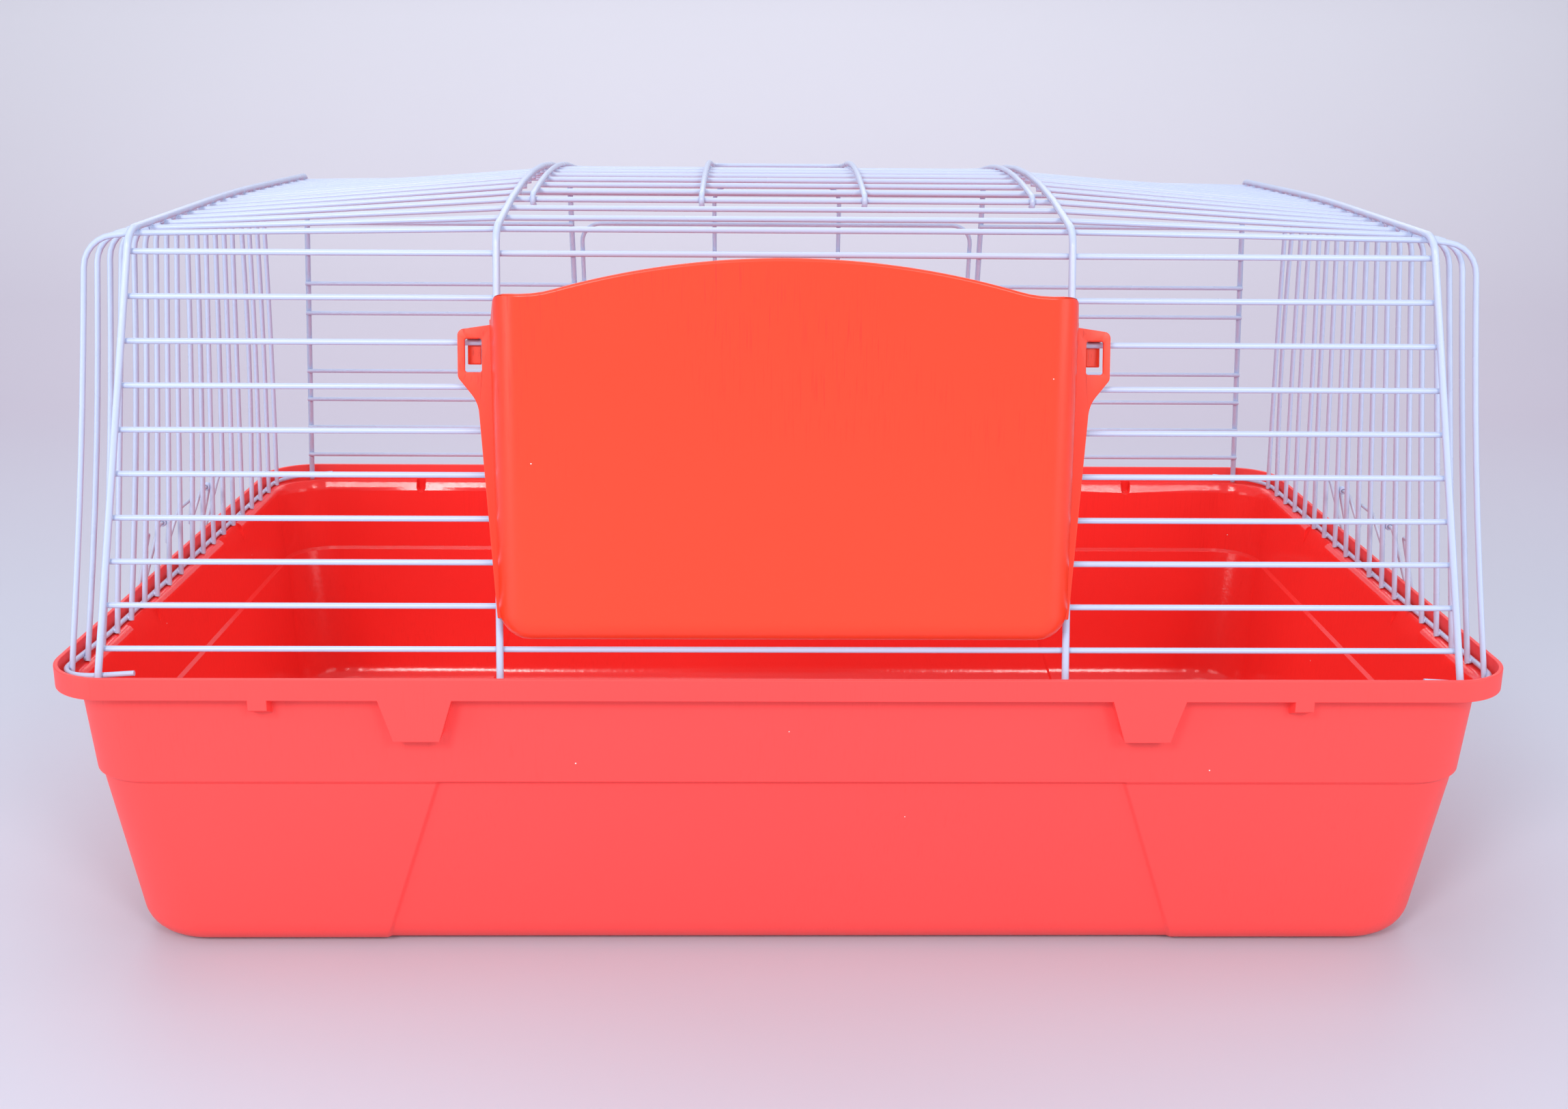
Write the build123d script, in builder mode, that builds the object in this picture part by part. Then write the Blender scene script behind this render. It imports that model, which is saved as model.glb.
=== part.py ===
from build123d import *
from math import asin, atan, ceil, cos, pi, radians, sin, sqrt, tan
import os

# Rabbit cage: a moulded tray, a welded wire top, a roof hatch, a drop-down door in the far wall,
# a hay feeder that hangs on the near wall and two spring-wire clips that hold the top to the tray.
# Millimetres. Origin at the middle of the tray's underside, +Z up, feeder side at -Y.

# tray
tray_length = 800.0
tray_width = 500.0
tray_height = 176.0
tray_wall = 2.5
rim_corner = 36.0
rim_band = 12.5
rim_ledge = 10.0
rim_bevel = 0.9
tub_corner = 35.0
step_drop = 65.0
step_in = 2.0
upper_draft = 4.0
side_draft = 8.0
end_draft = 5.0
floor_corner = 44.0
floor_round = 20.0
round_steps = 4
corner_steps = 6
panel_in = 2.0
panel_top_half = 196.0
panel_low_half = 226.0
lug_x = 198.0
lug_top_width = 41.0
lug_low_width = 25.0
lug_drop = 23.5
rib_x = 282.0
rib_width = 10.0
rib_drop = 8.5

# wire diameters, facets of a wire and its bends, and the gaps at welds, seats and hinges
frame_wire = 4.0
bar_wire = 2.7
gate_wire = 3.2
base_wire = 3.0
clip_wire = 2.4
wire_sides = 8
bend_sag = 0.5
weld_gap = 0.02
seat_gap = 0.1
hinge_gap = 0.3
bar_tail = 1.2

# near and far wire walls
post_inset = 8.1
wall_lean = 11.4
bar_first = 11.5
bar_pitch = 23.1
bar_rows = 10
mid_x = 153.0
frame_bend = 12.0

# end frames and roof
end_inset = 29.0
end_lean = 5.5
end_eaves_rise = 231.0
end_ridge_rise = 234.5
end_ridge_bend = 3000.0
eaves_rise = 232.4
ridge_rise = 266.2
ridge_bend = 1020.0
roof_pitch = 22.6
roof_bars = 17
bar_bend = 200.0

# end panels
upright_count = 19
upright_inset = 6.0
upright_spread = 218.0
upright_top_spread = 178.0
upright_top_in = 22.0
upright_top_rise = 224.5
upright_bend = 18.0
base_rise = 4.0
base_tip_x = 345.0
base_tip_rise = 1.0
base_bend = 42.5

# roof hatch and drop-down door, both with a latch loop
hatch_half = 142.5
hatch_hinge_bar = 3
hatch_last_bar = 14
hatch_back_y = 146.0
hatch_loop_back_y = 170.0
hatch_bend = 900.0
door_half = 145.5
door_hinge_row = 1
door_last_row = 7
door_top_rise = 196.0
door_loop_top_rise = 226.0
door_bar_shift = 1.5
loop_half = 46.5
gate_corner = 14.0
gate_bar_tail = 2.5
hook_tail = 2.0

# rim clips and the eyes that hold them
clip_rise = 31.5
clip_eye_upright = 2
eye_wall = 1.2
eye_length = 6.0
clip_hook_out = 17.1
clip_hook_half = 10.0
clip_knee_half = 4.0
clip_grip_in = 22.9
clip_grip_half = 9.0
clip_grip_drop = 23.5
clip_end = 6.0
clip_under = 1.3
clip_knee_out = 5.3
clip_tip_in = 3.6
clip_bend = 2.2
clip_tip_bend = 1.5

# hay feeder
feeder_wall = 2.2
feeder_half = 147.0
feeder_low_rise = 21.0
feeder_foot_depth = 17.5
feeder_flare = 11.0
feeder_corner = 14.0
feeder_edge = 10.0
feeder_steps = 4
feeder_shoulder_rise = 206.0
feeder_shoulder = 14.0
feeder_top_rise = 225.0
feeder_hook_row = 7
feeder_side_top = 181.0
ear_half = 173.0
ear_low_rise = 156.0
ear_root_rise = 143.0
ear_crown = 3.0
ear_round = 4.0
flange_low_rise = 30.0
flange_foot = 0.5
flange_width = 7.0
window_in = 4.0
window_width = 10.0
window_height = 18.5
tongue_width = 7.2
tongue_drop = 11.7
tongue_arm = 2.6

# levels and slopes that follow from the sizes above
rim_z = tray_height
band_z = rim_z - rim_band
ledge_z = band_z + tray_wall
step_z = rim_z - step_drop
lean = radians(wall_lean)
post_y = tray_width / 2 - tray_wall - post_inset
end_x0 = tray_length / 2 - tray_wall - end_inset
eaves_z = rim_z + eaves_rise
ridge_z = rim_z + ridge_rise
end_eaves_z = rim_z + end_eaves_rise
end_ridge_z = rim_z + end_ridge_rise
lay = (frame_wire + bar_wire) / 2 + weld_gap
gate_lay = (gate_wire + bar_wire) / 2 + weld_gap
hinge_reach = (gate_wire + bar_wire) / 2 + hinge_gap
sides = ((-1, "left"), (1, "right"))


def wall_y(z, depth=0.0):
    """Distance from the middle plane of a wire lying depth inside the posts of a long wall."""
    return post_y - (z - rim_z) * tan(lean) - depth / cos(lean)


def end_x(z):
    """Distance of an end frame's plane from the middle of the cage."""
    return end_x0 - (z - rim_z) * tan(radians(end_lean))


def row_z(row):
    """Height of a row of wall bars."""
    return rim_z + bar_first + row * bar_pitch


eaves_y = wall_y(eaves_z)
roof_slope = atan((ridge_z - eaves_z) / eaves_y)
end_eaves_y = wall_y(end_eaves_z)
end_slope = atan((end_ridge_z - end_eaves_z) / end_eaves_y)


def ridged(y, ridge, slope, bend, depth=0.0):
    """Height at y of a line that lies depth under two slopes with a rounded ridge."""
    if abs(y) >= (bend - depth) * sin(slope):
        return ridge - abs(y) * tan(slope) - depth / cos(slope)
    return ridge - bend / cos(slope) + sqrt((bend - depth) ** 2 - y**2)


def roof_y(bar):
    """Place of a roof bar, counted from the feeder side."""
    return (bar - (roof_bars - 1) / 2) * roof_pitch


def roof_bar_z(y):
    """Height of a roof bar's axis under the two mid arches."""
    return ridged(y, ridge_z, roof_slope, ridge_bend, lay)


def roof_bar_end(y):
    """Place and height of a roof bar's end under an end frame."""
    frame_z = ridged(y, end_ridge_z, end_slope, end_ridge_bend)
    return end_x(frame_z), ridged(y, end_ridge_z, end_slope, end_ridge_bend, lay)


def bent_wire(points, bends, diameter, hinge_bar=False):
    """Many-sided wire along straight runs, with each bend made of a few short runs round its arc.
    A bar that a hinge turns on is round."""
    ends = [Vector(*point) for point in points]
    run = [ends[0]]
    for before, corner, after, bend in zip(ends, ends[1:], ends[2:], bends):
        back = (before - corner).normalized()
        ahead = (after - corner).normalized()
        turn = pi - radians(back.get_angle(ahead))
        steps = ceil(turn / sqrt(8 * bend_sag / bend))
        inward = (back + ahead).normalized()
        onward = (ahead - back).normalized()
        middle = corner + inward * (bend / cos(turn / 2))
        reach = bend / cos(turn / steps / 2)
        for step in range(steps):
            swing = turn * ((step + 0.5) / steps - 0.5)
            run.append(middle + onward * (reach * sin(swing)) - inward * (reach * cos(swing)))
    run.append(ends[-1])
    with BuildPart() as wire:
        with BuildLine() as path:
            Polyline(*run)
        axis = path.wires()[0]
        with BuildSketch(Plane(origin=axis @ 0, z_dir=axis % 0)):
            if hinge_bar:
                Circle(diameter / 2)
            else:
                RegularPolygon(diameter / 2, wire_sides)
        sweep(path=axis, transition=Transition.RIGHT)
    return wire.part


def save(node, name):
    """Label a finished piece and write it."""
    node.part.label = name
    export_step(node.part, f"parts/{name}.step")


os.makedirs("parts", exist_ok=True)


# Tray. The tub is a ruled loft with a rounded foot and a step, and its hollow is the same form one
# wall smaller. Both long walls have a sunk middle panel with slanting ends.
def tub_outline(end_in, side_in, corner):
    """Points of a rounded rectangle that lies inside the rim, by a distance at its ends and sides."""
    points = []
    for quarter, (side_x, side_y) in enumerate(((1, 1), (-1, 1), (-1, -1), (1, -1))):
        middle_x = side_x * (tray_length / 2 - end_in - corner)
        middle_y = side_y * (tray_width / 2 - side_in - corner)
        for step in range(corner_steps + 1):
            turn = radians(90 * (quarter + step / corner_steps))
            points.append((middle_x + corner * cos(turn), middle_y + corner * sin(turn)))
    return points


def tub(inset, top_z):
    """Solid of the tub, or of its hollow where inset is the wall."""
    draft = radians(side_draft)
    upper_slope = tan(radians(upper_draft))
    upper_corner = tub_corner - inset
    shoulder_z = step_z + inset
    shoulder = rim_ledge + inset + (band_z - shoulder_z) * upper_slope
    wall_z = shoulder_z - step_in
    wall = shoulder + step_in
    bend = floor_round - inset
    wall_rise = wall_z - inset - bend
    foot_end = wall + wall_rise * tan(radians(end_draft)) + bend / cos(radians(end_draft))
    foot_side = wall + wall_rise * tan(draft) + bend / cos(draft)
    top = shoulder - (top_z - shoulder_z) * upper_slope
    sections = []
    for step in range(round_steps + 1):
        swing = (pi / 2 - draft) * step / round_steps
        curl = bend * sin(swing)
        corner = floor_corner - inset - bend + curl
        sections.append((inset + bend * (1 - cos(swing)), foot_end - curl, foot_side - curl, corner))
    sections.append((wall_z, wall, wall, upper_corner))
    sections.append((shoulder_z, shoulder, shoulder, upper_corner))
    sections.append((top_z, top, top, upper_corner))
    with BuildPart() as body:
        for z, end_in, side_in, corner in sections:
            with BuildSketch(Plane.XY.offset(z)):
                Polygon(*tub_outline(end_in, side_in, corner), align=None)
        loft(ruled=True)
        for side in (-1, 1):
            face = Plane(
                origin=(0, side * (tray_width / 2 - wall), wall_z),
                x_dir=(-side, 0, 0),
                z_dir=(0, side * cos(draft), -sin(draft)),
            )
            run = wall_z / cos(draft)
            low_half = panel_low_half + inset
            top_half = panel_top_half + inset
            with BuildSketch(face.offset(panel_in)):
                Polygon((-low_half, -run), (low_half, -run), (top_half, 0), (-top_half, 0), align=None)
            extrude(amount=-2 * panel_in, mode=Mode.SUBTRACT)
    return body.part


with BuildPart() as base_tray:
    add(tub(0.0, ledge_z))
    with BuildSketch(Plane.XY.offset(band_z)):
        RectangleRounded(tray_length, tray_width, rim_corner)
    extrude(amount=rim_band)
    with BuildSketch(Plane.XY.offset(ledge_z)):
        RectangleRounded(tray_length - 2 * tray_wall, tray_width - 2 * tray_wall, rim_corner - tray_wall)
    extrude(amount=rim_band, mode=Mode.SUBTRACT)
    chamfer(base_tray.faces().sort_by(Axis.Z)[-1].edges(), rim_bevel)
    lug_depth = rim_ledge + tray_wall
    for side in (-1, 1):
        # hollow trapezoid lugs under the band, open below, and small ribs beside them
        with BuildSketch(Plane.XZ.offset(side * tray_width / 2)):
            for x in (-lug_x, lug_x):
                Polygon(
                    (x - lug_low_width / 2, band_z - lug_drop),
                    (x + lug_low_width / 2, band_z - lug_drop),
                    (x + lug_top_width / 2, band_z),
                    (x - lug_top_width / 2, band_z),
                    align=None,
                )
            with Locations((-rib_x, band_z - rib_drop / 2), (rib_x, band_z - rib_drop / 2)):
                Rectangle(rib_width, rib_drop)
        extrude(amount=-side * lug_depth)
        with BuildSketch(Plane.XZ.offset(side * (tray_width / 2 - tray_wall))):
            for x in (-lug_x, lug_x):
                Polygon(
                    (x - lug_low_width / 2 + tray_wall, band_z - lug_drop),
                    (x + lug_low_width / 2 - tray_wall, band_z - lug_drop),
                    (x + lug_top_width / 2 - tray_wall, band_z),
                    (x - lug_top_width / 2 + tray_wall, band_z),
                    align=None,
                )
        extrude(amount=-side * (rim_ledge - tray_wall), mode=Mode.SUBTRACT)
    add(tub(tray_wall, rim_z), mode=Mode.SUBTRACT)
    pocket_width = rib_width - 2 * tray_wall
    pocket_low = band_z - rib_drop + tray_wall + pocket_width / 2
    for side in (-1, 1):
        # each rib has a round-ended pocket on the inside, open at the ledge
        with BuildSketch(Plane.XZ.offset(side * (tray_width / 2 - tray_wall))):
            for x in (-rib_x, rib_x):
                with Locations((x, pocket_low)):
                    Circle(pocket_width / 2)
                with Locations((x, (pocket_low + ledge_z) / 2)):
                    Rectangle(pocket_width, ledge_z - pocket_low)
        extrude(amount=-side * lug_depth, mode=Mode.SUBTRACT)
save(base_tray, "base_tray")


# Mid arches and end frames. Each is one bent wire that stands on the tray's ledge, runs up the
# near wall, over the roof and down the far wall. The end frames also lean inwards.
post_foot_z = ledge_z + frame_wire / 2 * sin(lean) + seat_gap
for side, hand in sides:
    x = side * mid_x
    with BuildPart() as mid_arch:
        foot_y = wall_y(post_foot_z)
        run = [
            (x, -foot_y, post_foot_z),
            (x, -eaves_y, eaves_z),
            (x, 0, ridge_z),
            (x, eaves_y, eaves_z),
            (x, foot_y, post_foot_z),
        ]
        add(bent_wire(run, [frame_bend, ridge_bend, frame_bend], frame_wire))
    save(mid_arch, f"mid_arch_{hand}")

    with BuildPart() as end_frame:
        foot_x = side * end_x(post_foot_z)
        corner_x = side * end_x(end_eaves_z)
        run = [
            (foot_x, -foot_y, post_foot_z),
            (corner_x, -end_eaves_y, end_eaves_z),
            (side * end_x(end_ridge_z), 0, end_ridge_z),
            (corner_x, end_eaves_y, end_eaves_z),
            (foot_x, foot_y, post_foot_z),
        ]
        add(bent_wire(run, [frame_bend, end_ridge_bend, frame_bend], frame_wire))
    save(end_frame, f"end_frame_{hand}")


# Wall bars, welded inside the posts. The near wall has full-width bars all the way up. In the far
# wall the rows beside the door are short bars from the end frames to the mid arches.
for row in range(bar_rows):
    z = row_z(row)
    x = end_x(z) + bar_tail
    y = wall_y(z, lay)
    with BuildPart() as front_bar:
        add(bent_wire([(-x, -y, z), (x, -y, z)], [], bar_wire))
    save(front_bar, f"front_bar_{row + 1:02d}")
    if row <= door_hinge_row or row == bar_rows - 1:
        with BuildPart() as back_bar:
            add(bent_wire([(-x, y, z), (x, y, z)], [], bar_wire, row == door_hinge_row))
        save(back_bar, f"back_bar_{row + 1:02d}")

for side, hand in sides:
    with BuildPart() as back_side_bars:
        for row in range(door_hinge_row + 1, bar_rows - 1):
            z = row_z(row)
            y = wall_y(z, lay)
            inner = side * (mid_x - bar_tail)
            outer = side * (end_x(z) + bar_tail)
            add(bent_wire([(inner, y, z), (outer, y, z)], [], bar_wire))
    save(back_side_bars, f"back_side_bars_{hand}")


# Roof bars, welded under the arches. They rise from the end frames to the mid arches and run level
# between them. Beside the hatch they are short bars.
for bar in range(roof_bars):
    y = roof_y(bar)
    if bar <= hatch_hinge_bar or bar > hatch_last_bar:
        x, end_z = roof_bar_end(y)
        z = roof_bar_z(y)
        run = [(-x, y, end_z), (-mid_x, y, z), (mid_x, y, z), (x, y, end_z)]
        with BuildPart() as roof_bar:
            add(bent_wire(run, [bar_bend, bar_bend], bar_wire, bar == hatch_hinge_bar))
        name = "roof_hinge_bar" if bar == hatch_hinge_bar else f"roof_bar_{bar + 1:02d}"
        save(roof_bar, name)

for side, hand in sides:
    with BuildPart() as roof_side_bars:
        for bar in range(hatch_hinge_bar + 1, hatch_last_bar + 1):
            y = roof_y(bar)
            x, end_z = roof_bar_end(y)
            inner = (side * (mid_x - bar_tail), y, roof_bar_z(y))
            add(bent_wire([inner, (side * x, y, end_z)], [], bar_wire))
    save(roof_side_bars, f"roof_side_bars_{hand}")


# End panels: a fan of uprights that stand on the ledge and bend in under the end frame, and a base
# wire outside their feet that goes round the corners and ends free behind the corner posts.
upright_foot_x = tray_length / 2 - tray_wall - upright_inset
upright_top_x = tray_length / 2 - tray_wall - upright_top_in
upright_top_z = rim_z + upright_top_rise
upright_tilt = atan((upright_foot_x - upright_top_x) / (upright_top_z - ledge_z))
upright_fan = atan((upright_spread - upright_top_spread) / (upright_top_z - ledge_z))
upright_foot_z = ledge_z + bar_wire / 2 * sin(upright_tilt + upright_fan) + seat_gap


def upright_place(index, z):
    """Place of an upright's axis at a height, with index counted from the middle one."""
    share = 2 * index / (upright_count - 1)
    climb = (z - ledge_z) / (upright_top_z - ledge_z)
    x = upright_foot_x + (upright_top_x - upright_foot_x) * climb
    y = share * (upright_spread + (upright_top_spread - upright_spread) * climb)
    return x, y


for side, hand in sides:
    with BuildPart() as end_uprights:
        for number in range(upright_count):
            index = number - (upright_count - 1) / 2
            foot_x, foot_y = upright_place(index, upright_foot_z)
            top_x, top_y = upright_place(index, upright_top_z)
            tip_x, tip_z = roof_bar_end(top_y)
            run = [
                (side * foot_x, foot_y, upright_foot_z),
                (side * top_x, top_y, upright_top_z),
                (side * (tip_x + hinge_gap), top_y, tip_z),
            ]
            add(bent_wire(run, [upright_bend], bar_wire))
    save(end_uprights, f"end_uprights_{hand}")

    with BuildPart() as end_base_wire:
        x = side * (upright_foot_x + (bar_wire + base_wire) / 2 + weld_gap)
        z = ledge_z + base_rise
        tip_z = rim_z + base_tip_rise
        y = wall_y((z + tip_z) / 2, (frame_wire + base_wire) / 2 + weld_gap)
        run = [
            (side * base_tip_x, -y, tip_z),
            (x, -y, z),
            (x, y, z),
            (side * base_tip_x, y, tip_z),
        ]
        add(bent_wire(run, [base_bend, base_bend], base_wire))
    save(end_base_wire, f"end_base_wire_{hand}")


# Hatch and door wires. Each gate wire starts with a hook round its hinge bar, runs up one side,
# across the free edge and back down, and ends with a second hook.
hook_bends = [hinge_reach, hinge_reach]


def hook(bar, along, outward):
    """Tail, inner and outer corner of a hook round a bar, with the gate lying along."""
    tail = bar - outward * hinge_reach + along * hook_tail
    inner = bar - outward * hinge_reach - along * hinge_reach
    outer = bar + outward * hinge_reach - along * hinge_reach
    return [tail, inner, outer]


def gate_loop(half, side_points, bends):
    """Wire through the points of one side at -half and, mirrored, the same points at +half."""
    left = [Vector(-half, point.Y, point.Z) for point in side_points]
    right = [Vector(half, point.Y, point.Z) for point in reversed(side_points)]
    return bent_wire(left + right, bends + bends[::-1], gate_wire)


hatch_y = roof_y(hatch_hinge_bar)
hatch_hinge = Vector(0, hatch_y, roof_bar_z(hatch_y))
hatch_slope = asin(min(abs(hatch_y) / ridge_bend, sin(roof_slope)))
hatch_along = Vector(0, cos(hatch_slope), sin(hatch_slope))
hatch_out = Vector(0, -sin(hatch_slope), cos(hatch_slope))
hatch_hook = hook(hatch_hinge, hatch_along, hatch_out)
hatch_ridge_z = hatch_hook[2].Z - hatch_hook[2].Y * tan(hatch_slope)
hatch_back_z = hatch_ridge_z - hatch_back_y * tan(hatch_slope)
hatch_ridge = Vector(0, 0, hatch_ridge_z)

with BuildPart() as hatch_frame:
    back = Vector(0, hatch_back_y, hatch_back_z)
    add(gate_loop(hatch_half, hatch_hook + [hatch_ridge, back], hook_bends + [hatch_bend, gate_corner]))
save(hatch_frame, "hatch_frame")

with BuildPart() as hatch_latch_loop:
    # the loop lies on the frame's back wire and reaches past the next roof bar
    crossing_z = hatch_back_z + gate_wire + weld_gap
    loop_z = hatch_ridge_z + (crossing_z - hatch_ridge_z) * hatch_loop_back_y / hatch_back_y
    back = Vector(0, hatch_loop_back_y, loop_z)
    add(gate_loop(loop_half, hatch_hook + [hatch_ridge, back], hook_bends + [hatch_bend, gate_corner]))
save(hatch_latch_loop, "hatch_latch_loop")

with BuildPart() as hatch_bars:
    x = hatch_half + gate_bar_tail
    for bar in range(hatch_hinge_bar + 1, hatch_last_bar + 1):
        y = roof_y(bar)
        z = ridged(y, hatch_ridge_z, hatch_slope, hatch_bend, gate_lay)
        add(bent_wire([(-x, y, z), (x, y, z)], [], bar_wire))
save(hatch_bars, "hatch_bars")

door_z = row_z(door_hinge_row)
door_hinge = Vector(0, wall_y(door_z, lay), door_z)
door_along = Vector(0, -sin(lean), cos(lean))
door_out = Vector(0, cos(lean), sin(lean))
door_run = (rim_z + door_top_rise - door_z) / cos(lean)

with BuildPart() as door_frame:
    top = door_hinge + door_out * hinge_reach + door_along * door_run
    add(gate_loop(door_half, hook(door_hinge, door_along, door_out) + [top], hook_bends + [gate_corner]))
save(door_frame, "door_frame")

with BuildPart() as door_latch_loop:
    # the loop tilts outwards, so that it passes outside the frame's top wire
    tilt = lean - atan((gate_wire + weld_gap) / door_run)
    along = Vector(0, -sin(tilt), cos(tilt))
    outward = Vector(0, cos(tilt), sin(tilt))
    loop_run = (rim_z + door_loop_top_rise - door_z) / cos(tilt)
    top = door_hinge + outward * hinge_reach + along * loop_run
    add(gate_loop(loop_half, hook(door_hinge, along, outward) + [top], hook_bends + [gate_corner]))
save(door_latch_loop, "door_latch_loop")

with BuildPart() as door_bars:
    x = door_half + gate_bar_tail
    for row in range(door_hinge_row + 1, door_last_row + 1):
        climb = (row - door_hinge_row) * bar_pitch / cos(lean) + door_bar_shift
        place = door_hinge + door_out * (hinge_reach - gate_lay) + door_along * climb
        add(bent_wire([(-x, place.Y, place.Z), (x, place.Y, place.Z)], [], bar_wire))
save(door_bars, "door_bars")


# Rim clips: a zigzag spring wire turns in two eyes on the end uprights. Its outer points go over
# the rim and hook under the band, and its inner points are finger grips.
clip_z = rim_z + clip_rise
eye_bore = clip_wire / 2 + hinge_gap
eye_radius = eye_bore + eye_wall
eye_upright_x, eye_y = upright_place(clip_eye_upright, clip_z)
clip_x = eye_upright_x + bar_wire / 2 / cos(upright_tilt) + eye_radius + weld_gap
clip_hook_y = eye_y + clip_hook_out
clip_grip_y = eye_y - clip_grip_in
knee_z = band_z - clip_under - clip_wire / 2
knee_x = tray_length / 2 + clip_wire / 2 + clip_knee_out
tip_x = tray_length / 2 + clip_wire / 2 - clip_tip_in
grip_z = clip_z - clip_grip_drop
grip_x = clip_x + (knee_x - clip_x) * clip_grip_drop / (clip_z - knee_z)

for side, hand in sides:
    with BuildPart() as clip_eyes:
        for y in (-eye_y, eye_y):
            axis = Plane(origin=(side * clip_x, y, clip_z), x_dir=(1, 0, 0), z_dir=(0, 1, 0))
            with BuildSketch(axis):
                RegularPolygon(eye_radius, wire_sides)
                Circle(eye_bore, mode=Mode.SUBTRACT)
            extrude(amount=eye_length / 2, both=True)
    save(clip_eyes, f"clip_eyes_{hand}")

    with BuildPart() as rim_clip:
        half_run = [
            (clip_x, clip_hook_y + clip_hook_half + clip_end, clip_z),
            (clip_x, clip_hook_y + clip_hook_half, clip_z),
            (knee_x, clip_hook_y + clip_knee_half, knee_z),
            (tip_x, clip_hook_y, knee_z),
            (knee_x, clip_hook_y - clip_knee_half, knee_z),
            (clip_x, clip_hook_y - clip_hook_half, clip_z),
            (clip_x, clip_grip_y + clip_grip_half, clip_z),
            (grip_x, clip_grip_y, grip_z),
            (clip_x, clip_grip_y - clip_grip_half, clip_z),
        ]
        far = [(side * x, y, z) for x, y, z in half_run]
        near = [(side * x, -y, z) for x, y, z in reversed(half_run)]
        half_bends = [clip_bend, clip_bend, clip_tip_bend] + 5 * [clip_bend]
        add(bent_wire(far + near, half_bends + half_bends[::-1], clip_wire))
    save(rim_clip, f"rim_clip_{hand}")


# Hay feeder: one moulding with an upright front, flared side walls and a rounded underside, open at
# the top and against the wire wall. Its ears hook over a wall bar, and it lifts off.
back_gap = frame_wire / 2 + hinge_gap
feeder_low_z = rim_z + feeder_low_rise
feeder_front = wall_y(feeder_low_z, -back_gap) + feeder_foot_depth
feeder_shoulder_z = rim_z + feeder_shoulder_rise
feeder_top_z = rim_z + feeder_top_rise
feeder_deep = feeder_front - wall_y(feeder_top_z, lay)
wall_out = (0, -cos(lean), sin(lean))
wall_plane = Plane(origin=(0, -post_y, rim_z), x_dir=(1, 0, 0), z_dir=wall_out)
back_plane = wall_plane.offset(back_gap)


def up_wall(rise, depth):
    """Distance up the leaning wall, depth inside its posts, for a height above the rim."""
    return rise / cos(lean) + depth * tan(lean)


def feeder_half_at(rise):
    """Half width of the feeder where its side walls meet the wire wall."""
    depth = feeder_front - wall_y(rim_z + rise, -back_gap)
    return feeder_half + depth * tan(radians(feeder_flare))


def hopper_outline(depth, inset, shrink):
    """Points of the hopper's section at a depth behind the front, rounded at both lower corners."""
    half = feeder_half + depth * tan(radians(feeder_flare)) - inset - shrink
    low = feeder_low_z + inset + shrink
    corner = feeder_corner - inset - shrink
    top_z = feeder_top_z + feeder_deep
    points = [(half, top_z), (-half, top_z)]
    for quarter, side in ((2, -1), (3, 1)):
        for step in range(feeder_steps + 1):
            turn = radians(90 * (quarter + step / feeder_steps))
            points.append((side * (half - corner) + corner * cos(turn), low + corner + corner * sin(turn)))
    return points


def hopper(inset):
    """Solid of the feeder's body, or of its hollow where inset is the wall."""
    edge = feeder_edge - inset
    sections = []
    for step in range(feeder_steps + 1):
        swing = pi / 2 * step / feeder_steps
        sections.append((inset + edge * (1 - cos(swing)), edge * (1 - sin(swing))))
    sections.append((feeder_deep, 0.0))
    with BuildPart() as body:
        for depth, shrink in sections:
            with BuildSketch(Plane.XZ.offset(feeder_front - depth)):
                Polygon(*hopper_outline(depth, inset, shrink), align=None)
        loft(ruled=True)
    return body.part


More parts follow.
